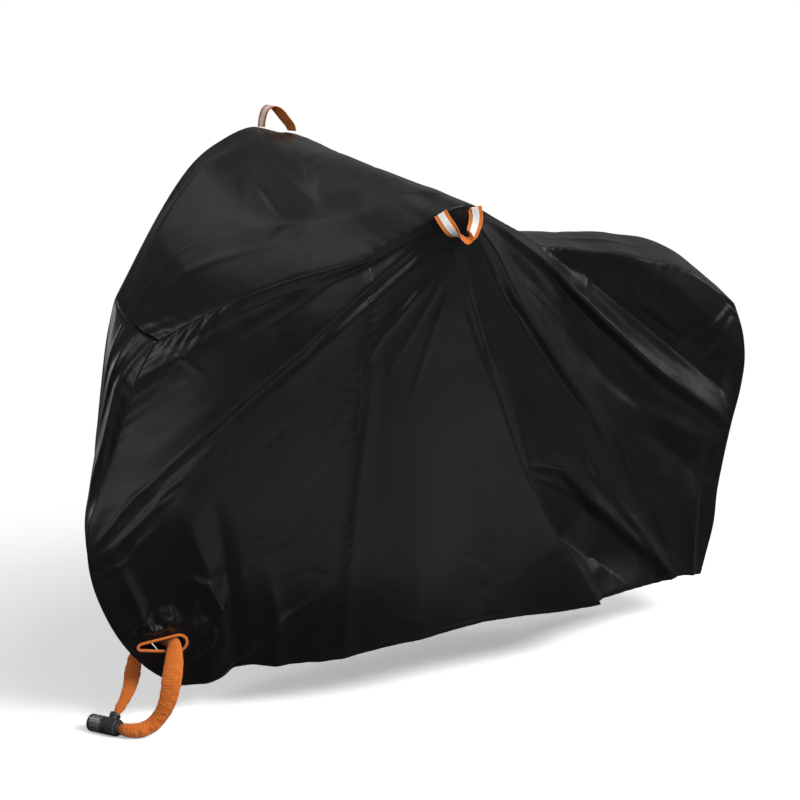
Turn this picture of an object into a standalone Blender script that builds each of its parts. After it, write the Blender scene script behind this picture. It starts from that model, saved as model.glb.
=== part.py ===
"""A fitted bicycle cover with its webbing loops, lock eyelets and sleeved cable lock.

The cover is drawn in the frame of the machine it hangs over: X runs from front to rear, Y from the near
side to the far side, Z up from the ground, and the zero is where the front wheel stands. That machine
leans a little to the near side, so the near bar end is the lower one. At the end everything is moved so
that the origin is under the top, at the middle of the handlebar. All lengths are in metres.
"""

import math

import bmesh
import bpy
import numpy as np
from mathutils import Matrix, Vector

# ---------------------------------------------------------------- driving sizes
BAR_MIDDLE = (0.155, -0.206, 1.222)  # under the top, at the middle of the handlebar: the part's origin
CLOTH = 0.0014  # coated cloth with its seam allowance
SEAM_GAP = 0.0030  # each panel stops this far from the seam line it shares
ALONG_FRONT, ALONG_MIDDLE, ALONG_REAR = 34, 26, 48  # columns before, between and after the main stations
DOWN = 64  # rows from shoulder to hem
ACROSS_TOP = 30  # strips across the top panel
ACROSS_GUSSET = 12
MID_SEAM, BAR_END = 0.29, 0.46  # stations of the upright seam and of the bar end, as shares of the length
REAR_BOW_START = 0.62  # from this station on, the side panels follow the bow of the rear seam
FALL_SAG = 0.08  # how far forward the cloth under the bar end hangs before the hem draws it back
CREST = 0.005  # roundness of a fold's crest
BUTT_GAP = 0.0004  # each side panel's half stops this far from the upright seam
KEEP = {  # share of each panel's faces that stays where the cloth is flat enough to spare the rest
    "near_front_panel": 0.16, "near_rear_panel": 0.16, "far_front_panel": 0.09, "far_rear_panel": 0.10,
    "top_panel": 0.13, "front_gusset": 0.20, "rear_gusset": 0.20,
}
MM = 0.001

# ---------------------------------------------------------------- seam lines
# share of the length, x, y, z
NEAR_SHOULDER = (
    (0.00, -0.379, -0.216, 0.895),  # nose corner
    (0.09, -0.262, -0.308, 0.972),
    (0.19, -0.125, -0.378, 1.026),
    (0.29, 0.010, -0.444, 1.068),  # top of the upright seam
    (0.38, 0.095, -0.508, 1.134),
    (0.43, 0.130, -0.535, 1.160),
    (0.46, 0.163, -0.547, 1.170),  # bar end
    (0.49, 0.200, -0.542, 1.168),
    (0.53, 0.240, -0.522, 1.154),
    (0.60, 0.352, -0.450, 1.117),
    (0.67, 0.478, -0.375, 1.075),
    (0.73, 0.585, -0.312, 1.037),  # saddle
    (0.80, 0.712, -0.293, 1.018),
    (0.88, 0.911, -0.276, 0.985),
    (0.95, 1.110, -0.266, 0.928),
    (1.00, 1.263, -0.252, 0.842),  # rear corner
)
FAR_SHOULDER = (
    (0.00, -0.409, -0.097, 0.972),
    (0.09, -0.270, -0.030, 1.122),
    (0.19, -0.145, 0.030, 1.228),
    (0.29, -0.030, 0.080, 1.280),
    (0.38, 0.075, 0.114, 1.304),
    (0.43, 0.125, 0.128, 1.296),
    (0.46, 0.160, 0.134, 1.288),
    (0.49, 0.190, 0.136, 1.286),
    (0.53, 0.235, 0.128, 1.272),
    (0.60, 0.352, 0.070, 1.208),
    (0.67, 0.478, 0.004, 1.140),
    (0.73, 0.585, -0.046, 1.066),
    (0.80, 0.712, -0.056, 1.034),
    (0.88, 0.911, -0.060, 1.022),
    (0.95, 1.120, -0.055, 0.990),
    (1.00, 1.270, -0.047, 0.912),
)
NEAR_HEM = (
    (0.00, -0.240, -0.060, 0.084),  # front corner
    (0.06, -0.175, -0.086, 0.092),
    (0.10, -0.121, -0.122, 0.122),
    (0.16, -0.055, -0.152, 0.119),
    (0.22, 0.003, -0.183, 0.123),
    (0.29, 0.086, -0.225, 0.130),  # foot of the upright seam
    (0.33, 0.216, -0.280, 0.157),
    (0.37, 0.354, -0.302, 0.169),
    (0.41, 0.520, -0.296, 0.166),
    (0.44, 0.660, -0.278, 0.152),
    (0.46, 0.757, -0.263, 0.146),  # foot of the big fold
    (0.52, 0.870, -0.215, 0.142),
    (0.60, 0.985, -0.185, 0.140),
    (0.70, 1.111, -0.169, 0.130),
    (0.76, 1.147, -0.175, 0.136),
    (1.00, 1.279, -0.141, 0.117),  # rear corner
)
FAR_HEM = (
    (0.00, -0.180, 0.012, 0.090),
    (0.10, -0.080, 0.055, 0.118),
    (0.20, 0.010, 0.088, 0.128),
    (0.29, 0.100, 0.115, 0.134),
    (0.37, 0.340, 0.140, 0.150),
    (0.46, 0.680, 0.135, 0.152),
    (0.56, 0.860, 0.110, 0.142),
    (0.70, 1.040, 0.085, 0.136),
    (0.85, 1.170, 0.062, 0.130),
    (1.00, 1.280, 0.045, 0.122),
)
# x, y, z from the nose or rear corner down to the hem
NEAR_FRONT = (
    (-0.379, -0.216, 0.895),
    (-0.418, -0.203, 0.820),
    (-0.442, -0.183, 0.731),
    (-0.462, -0.163, 0.643),
    (-0.490, -0.148, 0.560),
    (-0.507, -0.138, 0.500),
    (-0.505, -0.128, 0.440),
    (-0.487, -0.113, 0.370),
    (-0.455, -0.101, 0.298),
    (-0.410, -0.089, 0.225),
    (-0.355, -0.078, 0.162),
    (-0.295, -0.068, 0.115),
    (-0.240, -0.060, 0.084),
)
FAR_FRONT = (
    (-0.409, -0.097, 0.972),
    (-0.422, -0.086, 0.900),
    (-0.432, -0.066, 0.751),
    (-0.437, -0.058, 0.647),
    (-0.416, -0.046, 0.540),
    (-0.390, -0.034, 0.430),
    (-0.352, -0.020, 0.310),
    (-0.310, -0.008, 0.210),
    (-0.245, 0.004, 0.135),
    (-0.180, 0.012, 0.090),
)
NEAR_REAR = (
    (1.263, -0.252, 0.842),
    (1.301, -0.248, 0.758),
    (1.318, -0.239, 0.690),
    (1.318, -0.228, 0.620),
    (1.307, -0.210, 0.526),
    (1.297, -0.193, 0.425),
    (1.293, -0.179, 0.344),
    (1.298, -0.164, 0.256),
    (1.286, -0.150, 0.169),
    (1.279, -0.141, 0.117),
)
FAR_REAR = (
    (1.270, -0.047, 0.912),
    (1.302, -0.036, 0.800),
    (1.312, -0.018, 0.660),
    (1.300, 0.004, 0.480),
    (1.292, 0.028, 0.290),
    (1.280, 0.045, 0.122),
)
# share across from the near to the far seam, x, y, z
NOSE = (
    (0.00, -0.379, -0.216, 0.895),
    (0.35, -0.405, -0.178, 0.921),
    (0.70, -0.414, -0.132, 0.949),
    (1.00, -0.409, -0.097, 0.972),
)
TAIL = (
    (0.00, 1.263, -0.252, 0.842),
    (0.50, 1.280, -0.150, 0.884),
    (1.00, 1.270, -0.047, 0.912),
)
FRONT_HEM = (
    (0.00, -0.240, -0.060, 0.084),
    (0.50, -0.216, -0.024, 0.080),
    (1.00, -0.180, 0.012, 0.090),
)
REAR_HEM = (
    (0.00, 1.279, -0.141, 0.117),
    (0.50, 1.290, -0.048, 0.112),
    (1.00, 1.280, 0.045, 0.122),
)

# ---------------------------------------------------------------- folds
# name, rises along the fold (mm, out is plus), (widths to the left and right of its way, m), its bent line
NEAR_FOLDS = (
    ("upper trough", (-3, -9, -13, -15, -14, -9, -2), (0.048, 0.042),
     ((0.110, 1.137), (0.081, 1.105), (0.032, 1.074), (-0.013, 1.034), (-0.083, 0.985), (-0.144, 0.938), (-0.223, 0.885))),
    ("long ridge", (3, 10, 12, 12, 10, 7, 3), (0.024, 0.045),
     ((0.110, 1.110), (0.061, 1.062), (-0.031, 0.958), (-0.121, 0.860), (-0.229, 0.756), (-0.374, 0.608), (-0.433, 0.543))),
    ("long valley", (-3, -6, -7, -6, -4, -2), (0.012, 0.022),
     ((0.112, 1.096), (0.075, 1.048), (-0.016, 0.944), (-0.106, 0.846), (-0.214, 0.742), (-0.359, 0.594))),
    ("second ridge", (3, 6, 7, 6, 4, 1), (0.055, 0.011),
     ((0.125, 1.112), (0.084, 1.045), (0.017, 0.966), (-0.023, 0.921), (-0.097, 0.858), (-0.152, 0.789))),
    ("third ridge", (1, 4, 4, 1), (0.040, 0.009), ((0.148, 1.050), (0.117, 0.997), (0.076, 0.944), (0.036, 0.887))),
    ("upright seam", (2, 5, 4, 5, 6), (0.024, 0.024),
     ((0.011, 1.052), (0.043, 0.801), (0.057, 0.547), (0.072, 0.271), (0.086, 0.130))),
    ("big fold", (5, 10, 16, 24, 32, 36, 24), (0.034, 0.180),
     ((0.150, 1.095), (0.184, 1.022), (0.263, 0.888), (0.383, 0.675), (0.485, 0.512), (0.618, 0.349), (0.795, 0.165))),
    ("deep pocket", (-2, -14, -32, -43, -48, -46, -18), (0.190, 0.040),
     ((0.340, 0.860), (0.440, 0.700), (0.530, 0.565), (0.580, 0.465), (0.645, 0.380), (0.730, 0.310), (0.820, 0.250))),
    ("hem shelf", (6, 24, 24, 6), (0.100, 0.050), ((0.800, 0.150), (0.900, 0.150), (1.000, 0.145), (1.080, 0.135))),
    ("pocket lip", (0, 14, 24, 22, 10), (0.050, 0.018),
     ((0.515, 0.544), (0.672, 0.499), (0.810, 0.385), (1.011, 0.242), (1.135, 0.142))),
    ("rear ridge", (6, 16, 24, 26, 22, 10, 0), (0.050, 0.016),
     ((0.220, 1.124), (0.298, 1.057), (0.399, 0.946), (0.508, 0.850), (0.674, 0.702), (0.781, 0.604), (0.860, 0.530))),
    ("rear branch", (0, 8, 12, 10), (0.050, 0.014),
     ((0.716, 0.575), (0.802, 0.467), (0.989, 0.295), (1.112, 0.154))),
    ("second branch", (0, 5, 6, 4), (0.040, 0.014), ((0.814, 0.622), (0.924, 0.502), (1.030, 0.359), (1.133, 0.189))),
    ("rear valley", (-4, -10, -14, -12, -4), (0.060, 0.060),
     ((0.324, 1.079), (0.520, 0.955), (0.700, 0.815), (0.940, 0.625), (1.200, 0.400))),
    ("saddle crease", (-1, -3, -5, -4, -2), (0.012, 0.022),
     ((0.323, 1.106), (0.491, 1.034), (0.701, 0.898), (0.991, 0.685), (1.265, 0.528))),
    ("saddle ridge", (6, 14, 27, 28, 18, 9), (0.040, 0.014),
     ((0.228, 1.152), (0.362, 1.101), (0.622, 0.972), (0.792, 0.841), (0.996, 0.698), (1.276, 0.535))),
    ("low saddle ridge", (1, 5, 7, 6, 3), (0.035, 0.050),
     ((0.788, 0.708), (0.900, 0.633), (1.032, 0.569), (1.157, 0.517), (1.273, 0.472))),
    ("low saddle dip", (-1, -5, -6, -4), (0.040, 0.080),
     ((0.900, 0.560), (0.990, 0.540), (1.132, 0.463), (1.263, 0.400))),
    ("rear hollow", (-4, -34, -50, -46, -16), (0.110, 0.060),
     ((0.620, 1.015), (0.790, 0.930), (0.940, 0.840), (1.100, 0.735), (1.279, 0.610))),
    ("saddle fall", (2, 10, 2), (0.030, 0.050), ((0.771, 0.990), (0.756, 0.940), (0.725, 0.890))),
    ("rear fall", (0, 12, 16), (0.045, 0.045), ((1.190, 0.520), (1.205, 0.300), (1.215, 0.120))),
    ("front fall", (0, 10, 12), (0.060, 0.040), ((-0.340, 0.560), (-0.250, 0.380), (-0.190, 0.100))),
    ("front crease", (0, -9, -12), (0.030, 0.030), ((-0.260, 0.560), (-0.190, 0.330), (-0.130, 0.110))),
    ("front gather", (0, 8, 10), (0.030, 0.030), ((-0.120, 0.400), (-0.075, 0.240), (-0.055, 0.119))),
    ("eyelet pull", (8, 6, 0), (0.024, 0.034), ((-0.250, 0.225), (-0.200, 0.290), (-0.150, 0.400))),
    ("edge pull", (0, 8, 6), (0.024, 0.024), ((-0.470, 0.470), (-0.400, 0.330), (-0.360, 0.250))),
    ("broad fall", (0, 8, 10), (0.110, 0.080), ((0.130, 0.900), (0.180, 0.500), (0.250, 0.160))),
    ("broad dip", (0, -8, -10), (0.110, 0.100), ((0.230, 0.780), (0.340, 0.450), (0.440, 0.160))),
)
FAR_FOLDS = (
    ("long ridge", (5, 18, 20, 8), (0.090, 0.036),
     ((0.145, 1.250), (-0.080, 1.000), (-0.250, 0.760), (-0.400, 0.520))),
    ("long valley", (-4, -12, -14, -4), (0.036, 0.036),
     ((0.155, 1.210), (-0.030, 0.940), (-0.190, 0.690), (-0.330, 0.430))),
    ("upright seam", (2, 5, 5), (0.030, 0.030), ((-0.030, 1.280), (0.040, 0.700), (0.100, 0.134))),
    ("big fold", (6, 20, 26, 28), (0.045, 0.180),
     ((0.170, 1.260), (0.230, 0.950), (0.400, 0.560), (0.640, 0.150))),
    ("pocket", (-3, -18, -32, -36), (0.080, 0.090),
     ((0.330, 1.050), (0.480, 0.720), (0.650, 0.400), (0.800, 0.140))),
    ("rear ridge", (5, 20, 22, 12), (0.050, 0.070),
     ((0.230, 1.260), (0.520, 0.920), (0.790, 0.580), (1.000, 0.140))),
    ("rear valley", (-3, -16, -16, -6), (0.080, 0.080),
     ((0.330, 1.190), (0.660, 0.880), (0.960, 0.580), (1.130, 0.220))),
    ("saddle ridge", (4, 20, 22, 14), (0.045, 0.090),
     ((0.245, 1.270), (0.600, 1.020), (0.940, 0.760), (1.280, 0.540))),
    ("front fall", (0, 9, 10), (0.050, 0.050), ((-0.270, 0.640), (-0.190, 0.380), (-0.110, 0.110))),
    ("broad dip", (0, -9, -10), (0.090, 0.090), ((0.160, 0.850), (0.240, 0.500), (0.330, 0.150))),
)
TOP_FOLDS = (
    ("trough", (-4, -12, -10, -3), (0.110, 0.080),
     ((0.110, 0.060), (0.070, -0.080), (0.020, -0.230), (-0.060, -0.290))),
    ("far roll", (0, 9, 8, 2), (0.050, 0.050),
     ((-0.340, -0.090), (-0.240, -0.050), (-0.120, 0.000), (0.020, 0.040))),
    ("near pull", (6, 8, 2), (0.050, 0.080), ((0.130, -0.430), (-0.030, -0.280), (-0.220, -0.190))),
    ("saddle pull", (4, 10, 4), (0.060, 0.060), ((0.230, -0.400), (0.420, -0.270), (0.640, -0.200))),
    ("seat dip", (-4, -14, -6), (0.110, 0.110), ((0.240, -0.150), (0.420, -0.170), (0.580, -0.180))),
    ("rack roll", (2, 8, 2), (0.070, 0.070), ((0.720, -0.180), (0.920, -0.150), (1.180, -0.150))),
)
# in the gussets the flat plane is (y, z)
FRONT_FOLDS = (
    ("near pleat", (2, 7, 7), (0.020, 0.020), ((-0.185, 0.880), (-0.125, 0.600), (-0.060, 0.200))),
    ("far pleat", (1, -6, -5), (0.024, 0.024), ((-0.140, 0.940), (-0.090, 0.650), (-0.030, 0.200))),
)
REAR_FOLDS = (
    ("middle pleat", (0, 10, 8), (0.050, 0.036), ((-0.150, 0.820), (-0.100, 0.500), (-0.050, 0.120))),
    ("far dip", (0, -8, -8), (0.040, 0.040), ((-0.090, 0.840), (-0.040, 0.500), (0.000, 0.120))),
)
# share of the length, rise of the top's middle over a straight line across (mm)
TOP_CROWN = (
    (0.00, 0), (0.08, 14), (0.20, 10), (0.32, -6), (0.42, -4), (0.46, 0), (0.50, -4), (0.60, -22), (0.70, 2),
    (0.80, 14), (0.92, 12), (1.00, 0)
)

# ---------------------------------------------------------------- lock eyelets
# A tapered slot: a wide round end and a narrow one, joined by straight sides.
WIDE_END, WIDE_RADIUS = 0.037, 0.0188
NARROW_END, NARROW_RADIUS = -0.043, 0.005
BINDING, BINDING_DEPTH = 0.007, 0.0044
NEAR_EYELET = {"middle": (-0.318, -0.105, 0.203), "along": (0.966, -0.257, 0.0), "out": (-0.243, -0.913, -0.319)}
FAR_EYELET = {"middle": (-0.236, 0.0142, 0.205), "along": (-0.958, -0.285, 0.0), "out": (-0.280, 0.945, -0.150)}
EYELET_REACH, EYELET_FADE = 0.095, 0.035
STEEL_GAP = 0.0003  # between pieces that touch

# ---------------------------------------------------------------- webbing loops
WEBBING, TAPE = 0.030, 0.014
WEBBING_DEPTH, TAPE_DEPTH = 0.0015, 0.0006
# x, y, z of the middle of the webbing, then the way its width runs
NEAR_LOOP = (
    ((0.1235, -0.5345, 1.1550), (0.72, -0.25, 0.62)),
    ((0.1255, -0.5440, 1.1330), (0.80, -0.20, 0.52)),
    ((0.1390, -0.5500, 1.1100), (0.75, -0.35, 0.55)),
    ((0.1560, -0.5540, 1.0990), (0.45, -0.70, 0.60)),
    ((0.1760, -0.5560, 1.1010), (0.05, -0.90, 0.45)),
    ((0.1920, -0.5560, 1.1150), (-0.35, -0.85, 0.30)),
    ((0.2000, -0.5530, 1.1360), (-0.62, -0.75, 0.10)),
    ((0.2040, -0.5480, 1.1640), (-0.72, -0.65, 0.00)),
)
FAR_LOOP = (
    ((0.1090, 0.1290, 1.3020), (0.0, 1.0, 0.15)),
    ((0.1130, 0.1290, 1.3240), (0.0, 1.0, 0.15)),
    ((0.1220, 0.1290, 1.3420), (0.0, 1.0, 0.15)),
    ((0.1360, 0.1300, 1.3490), (-0.05, 1.0, 0.08)),
    ((0.1540, 0.1310, 1.3400), (-0.25, 1.0, -0.15)),
    ((0.1760, 0.1330, 1.3190), (-0.30, 1.0, -0.22)),
    ((0.1940, 0.1355, 1.3000), (-0.25, 1.0, -0.10)),
    ((0.1990, 0.1365, 1.2900), (-0.15, 1.0, 0.00)),
)

# ---------------------------------------------------------------- lock and strap
LOCK_RADIUS = 0.0195
LOCK_FOOT = (-0.405, -0.062, 0.0200)  # where the near leg of the strap leaves the barrel
LOCK_WAY = (-0.374, 0.928, 0.0)
BODY_LENGTH, DIAL_WIDTH, DIALS, CAP_LENGTH = 0.040, 0.0065, 4, 0.008
SOCKET_AT, SOCKET_WAY = 0.026, (0.70, 0.20, 0.68)
SOCKET_RADIUS, SOCKET_LENGTH = 0.0125, 0.012
# x, y, z, width of the gathered sleeve
STRAP = (
    (-0.4046, -0.0630, 0.0200, 0.028),
    (-0.3953, -0.0861, 0.0195, 0.030),
    (-0.3740, -0.1040, 0.0205, 0.033),
    (-0.3530, -0.1140, 0.0290, 0.034),
    (-0.3390, -0.1250, 0.0470, 0.034),
    (-0.3300, -0.1380, 0.0720, 0.037),
    (-0.3245, -0.1470, 0.1020, 0.041),
    (-0.3190, -0.1500, 0.1360, 0.044),
    (-0.3090, -0.1430, 0.1690, 0.042),
    (-0.2905, -0.1125, 0.2025, 0.030),
    (-0.2830, -0.0850, 0.2040, 0.030),
    (-0.2720, -0.0520, 0.1940, 0.030),
    (-0.2660, -0.0220, 0.1930, 0.030),
    (-0.2650, 0.0057, 0.2050, 0.030),
    (-0.2740, 0.0310, 0.1900, 0.029),
    (-0.2890, 0.0400, 0.1620, 0.024),
    (-0.3080, 0.0300, 0.1350, 0.032),
    (-0.3260, 0.0100, 0.1120, 0.037),
    (-0.3450, -0.0100, 0.0890, 0.031),
    (-0.3738, -0.0262, 0.0597, 0.022),
    (-0.3919, -0.0314, 0.0422, 0.025),
)

# ---------------------------------------------------------------- colours
BLACK = (0.012, 0.012, 0.013)
ORANGE = (0.85, 0.22, 0.015)
SILVER = (0.80, 0.79, 0.76)
DARK_GREY = (0.035, 0.038, 0.045)
STEEL = (0.30, 0.30, 0.31)
FRONT_SWELL, REAR_SWELL = 0.006, 0.014


def smooth(rows, share):
    """Points of a smooth line through rows of (share, x, y, z), at the given shares."""
    table = np.array(rows)
    knots, places = table[:, 0], table[:, 1:]
    slopes = np.gradient(places, knots, axis=0)
    share = np.asarray(share, float)
    i = np.clip(np.searchsorted(knots, share, side="right") - 1, 0, len(knots) - 2)
    width = (knots[i + 1] - knots[i])[..., None]
    a = (share - knots[i])[..., None] / width
    start = places[i] * (2 * a**3 - 3 * a**2 + 1) + slopes[i] * width * (a**3 - 2 * a**2 + a)
    end = places[i + 1] * (3 * a**2 - 2 * a**3) + slopes[i + 1] * width * (a**3 - a**2)
    return start + end


def by_length(points):
    """Rows of (share, x, y, z, ...) whose share is the length walked along the points."""
    steps = [0.0]
    for here, there in zip(points, points[1:]):
        steps.append(steps[-1] + math.dist(here[:3], there[:3]))
    return tuple((step / steps[-1], *point) for step, point in zip(steps, points))


def side_grid(shoulder, hem, front, rear, along, down):
    """The plain hang of a side panel: straight falls from shoulder to hem, bowed out to its two end seams.

    The falls near the bar end sag forward, as the cloth hangs from that point before the hem pulls it back.
    """
    top = smooth(shoulder, along)[:, None]
    foot = smooth(hem, along)[:, None]
    start = smooth(by_length(front), down)[None]
    end = smooth(by_length(rear), down)[None]
    u, v = along[:, None, None], down[None, :, None]
    grid = (1 - v) * top + v * foot
    front_bow = start - (1 - v) * start[:, :1] - v * start[:, -1:]
    rear_bow = end - (1 - v) * end[:, :1] - v * end[:, -1:]
    grid = grid + np.clip(1 - u / MID_SEAM, 0, 1) ** 1.3 * front_bow
    grid = grid + np.clip((u - REAR_BOW_START) / (1 - REAR_BOW_START), 0, 1) ** 1.2 * rear_bow
    sag = FALL_SAG * np.exp(-(((u - BAR_END) / 0.10) ** 2)) * 4 * v * (1 - v)
    return grid - sag * np.array((1.0, 0.0, 0.0))


def strip_grid(near_line, far_line, start_line, end_line, across):
    """A strip lofted from its near seam to its far seam, bowed out to its two end lines."""
    w = across[None, :, None]
    grid = (1 - w) * near_line[:, None] + w * far_line[:, None]
    v = np.linspace(0, 1, len(near_line))[:, None, None]
    start_bow = start_line - (1 - across[:, None]) * start_line[0] - across[:, None] * start_line[-1]
    end_bow = end_line - (1 - across[:, None]) * end_line[0] - across[:, None] * end_line[-1]
    return grid + (1 - v) * start_bow[None] + v * end_bow[None]


def ease(x):
    """A soft step from 0 to 1."""
    x = np.clip(x, 0, 1)
    return x * x * (3 - 2 * x)


def fold_height(flat, folds):
    """How far the folds lift each flat point. A fold runs along a bent line and dies out at its two widths."""
    height = np.zeros(flat.shape[:-1])
    for _name, rises, (left, right), line in folds:
        line = np.array(line)
        nearest = np.full(height.shape, np.inf)
        signed, along = np.zeros(height.shape), np.zeros(height.shape)
        for i, (a, b) in enumerate(zip(line, line[1:])):
            way = b - a
            t = np.clip(((flat - a) @ way) / (way @ way), 0, 1)
            off = flat - a - t[..., None] * way
            far = np.hypot(off[..., 0], off[..., 1])
            side = np.sign(way[0] * off[..., 1] - way[1] * off[..., 0])
            closer = far < nearest
            nearest = np.where(closer, far, nearest)
            signed = np.where(closer, side, signed)
            along = np.where(closer, (i + t) / (len(line) - 1), along)
        width = np.where(signed > 0, left, right)
        rise = np.interp(along, np.linspace(0, 1, len(rises)), rises)
        height += MM * rise * np.clip(1 - (np.hypot(nearest, CREST) - CREST) / width, 0, 1) ** 1.6
    return height


def hold_seams(grid, front=0.035, rear=0.025, top=0.05):
    """How free each point of a side panel is to fold: none at its seams, all of it at the hem."""
    u = np.linspace(0, 1, grid.shape[0])[:, None]
    v = np.linspace(0, 1, grid.shape[1])[None]
    return ease(u / front) * ease((1 - u) / rear) * ease(v / top)


def flatten(grid, free, eyelet):
    """Lay the cloth flat where the eyelet is bound into it."""
    spot = np.array(eyelet["middle"])
    out = np.array(eyelet["out"]) / np.linalg.norm(eyelet["out"])
    off = grid - spot
    depth = off @ out
    reach = np.linalg.norm(off - depth[..., None] * out, axis=-1)
    hold = ease((EYELET_REACH - reach) / EYELET_FADE) * ease(free * 2)
    return grid - (hold * depth)[..., None] * out


def columns():
    """Stations of the columns along the cover, closest where the folds crowd."""
    front = np.linspace(0, MID_SEAM, ALONG_FRONT + 1)
    middle = np.linspace(MID_SEAM, BAR_END, ALONG_MIDDLE + 1)[1:]
    rear = np.linspace(BAR_END, 1, ALONG_REAR + 1)[1:]
    return np.concatenate((front, middle, rear))


def near_side():
    along, down = columns(), np.linspace(0, 1, DOWN + 1)
    grid = side_grid(NEAR_SHOULDER, NEAR_HEM, NEAR_FRONT, NEAR_REAR, along, down)
    free = hold_seams(grid)
    lift = fold_height(grid[..., (0, 2)], NEAR_FOLDS) * free
    grid = grid + lift[..., None] * np.array((0.0, -1.0, 0.0))
    return flatten(grid, free, NEAR_EYELET)


def far_side():
    along, down = columns(), np.linspace(0, 1, DOWN + 1)
    grid = side_grid(FAR_SHOULDER, FAR_HEM, FAR_FRONT, FAR_REAR, along, down)
    free = hold_seams(grid)
    lift = fold_height(grid[..., (0, 2)], FAR_FOLDS) * free
    grid = grid + lift[..., None] * np.array((0.0, 1.0, 0.0))
    return flatten(grid, free, FAR_EYELET)


def top_side():
    along, across = columns(), np.linspace(0, 1, ACROSS_TOP + 1)
    grid = strip_grid(
        smooth(NEAR_SHOULDER, along), smooth(FAR_SHOULDER, along), smooth(NOSE, across), smooth(TAIL, across), across
    )
    crown = np.interp(along, *zip(*TOP_CROWN)) * MM
    grid[..., 2] += crown[:, None] * np.sin(math.pi * across)
    free = ease(along / 0.04)[:, None] * ease((1 - along) / 0.04)[:, None]
    free = free * ease(across / 0.12) * ease((1 - across) / 0.12)
    grid[..., 2] += fold_height(grid[..., (0, 1)], TOP_FOLDS) * free
    return grid


def gusset(near_edge, far_edge, head, foot, swell, folds, out):
    """A long gusset between two seams, swelled out along its middle."""
    down, across = np.linspace(0, 1, DOWN + 1), np.linspace(0, 1, ACROSS_GUSSET + 1)
    grid = strip_grid(
        smooth(by_length(near_edge), down), smooth(by_length(far_edge), down), smooth(head, across),
        smooth(foot, across), across
    )
    free = np.sin(math.pi * across)[None] * ease(down / 0.08)[:, None]
    lift = (swell + fold_height(grid[..., (1, 2)], folds)) * free
    return grid + lift[..., None] * np.array(out)


# ---------------------------------------------------------------- making the pieces
def material(name, colour, roughness, metallic=0.0):
    made = bpy.data.materials.get(name)
    if made is None:
        made = bpy.data.materials.new(name)
        made.use_nodes = True
        shader = made.node_tree.nodes["Principled BSDF"]
        shader.inputs["Base Color"].default_value = (*colour, 1.0)
        shader.inputs["Roughness"].default_value = roughness
        shader.inputs["Metallic"].default_value = metallic
    return made


def add_mesh(name, mesh, finish, collection):
    piece = bpy.data.objects.new(name, mesh)
    mesh.materials.append(material(*finish))
    collection.objects.link(piece)
    return piece


def pull_in(grid, gaps):
    """Draw the edges of a grid in from its seam lines: gaps at the first and last column and row."""
    grid = grid.copy()
    first, last, head, foot = gaps
    for gap, edge, inner in ((first, 0, 1), (last, -1, -2)):
        step = grid[inner] - grid[edge]
        grid[edge] += step * (gap / np.linalg.norm(step, axis=-1, keepdims=True))
    for gap, edge, inner in ((head, 0, 1), (foot, -1, -2)):
        step = grid[:, inner] - grid[:, edge]
        grid[:, edge] += step * (gap / np.linalg.norm(step, axis=-1, keepdims=True))
    return grid


def add_sheet(name, grid, outside, finish, collection, thickness=CLOTH, keep=1.0):
    """Cloth through a grid of points, its outer face on them and its thickness inside.

    Keep is the share of the grid's faces that stays once its flat parts are made coarse.
    """
    rows, cols = grid.shape[:2]
    i, j = rows // 2, cols // 2 - 1
    normal = np.cross(grid[i + 1, j] - grid[i, j], grid[i, j + 1] - grid[i, j])
    turned = normal @ np.array(outside) < 0
    faces = []
    for i in range(rows - 1):
        for j in range(cols - 1):
            a, b = i * cols + j, i * cols + j + 1
            ring = (a, a + cols, b + cols, b)
            faces.append(ring[::-1] if turned else ring)
    mesh = bpy.data.meshes.new(name)
    mesh.from_pydata(grid.reshape(-1, 3).tolist(), [], faces)
    mesh.shade_smooth()
    piece = add_mesh(name, mesh, finish, collection)
    if keep < 1.0:
        coarse = piece.modifiers.new("coarse where flat", "DECIMATE")
        coarse.ratio = keep
    skin = piece.modifiers.new("cloth", "SOLIDIFY")
    skin.thickness = thickness
    skin.offset = -1.0
    return piece


def outline(grow, steps=9):
    """The slot's outline as a ring of flat points, grown outwards by so much."""
    lean = math.asin((WIDE_RADIUS - NARROW_RADIUS) / (WIDE_END - NARROW_END))
    ring = []
    for end, radius, start, sweep in (
        (WIDE_END, WIDE_RADIUS, -math.pi / 2 - lean, math.pi + 2 * lean),
        (NARROW_END, NARROW_RADIUS, math.pi / 2 + lean, math.pi - 2 * lean),
    ):
        for i in range(steps + 1):
            turn = start + sweep * i / steps
            ring.append((end + (radius + grow) * math.cos(turn), (radius + grow) * math.sin(turn)))
    return ring


def eyelet_matrix(eyelet):
    """The eyelet's own frame: X along the slot, Z out of the cloth."""
    out = Vector(eyelet["out"]).normalized()
    along = Vector(eyelet["along"])
    along = (along - along.dot(out) * out).normalized()
    turn = Matrix((along, out.cross(along), out)).transposed()
    return Matrix.Translation(Vector(eyelet["middle"]) - out * CLOTH / 2) @ turn.to_4x4()


def add_binding(name, eyelet, collection):
    """The bound edge of the slot: a flat ring with a rounded edge, made as a 2D curve."""
    curve = bpy.data.curves.new(name, "CURVE")
    curve.dimensions = "2D"
    curve.fill_mode = "BOTH"
    edge = 0.0014
    curve.extrude = BINDING_DEPTH / 2 - edge
    curve.bevel_depth = edge
    curve.bevel_resolution = 1
    for grow in (BINDING - edge, edge):
        ring = outline(grow)
        spline = curve.splines.new("POLY")
        spline.points.add(len(ring) - 1)
        for point, (x, y) in zip(spline.points, ring):
            point.co = (x, y, 0.0, 1.0)
        spline.use_cyclic_u = True
    piece = bpy.data.objects.new(name, curve)
    curve.materials.append(material("orange binding", ORANGE, 0.7))
    collection.objects.link(piece)
    piece.matrix_world = eyelet_matrix(eyelet)
    return piece


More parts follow.
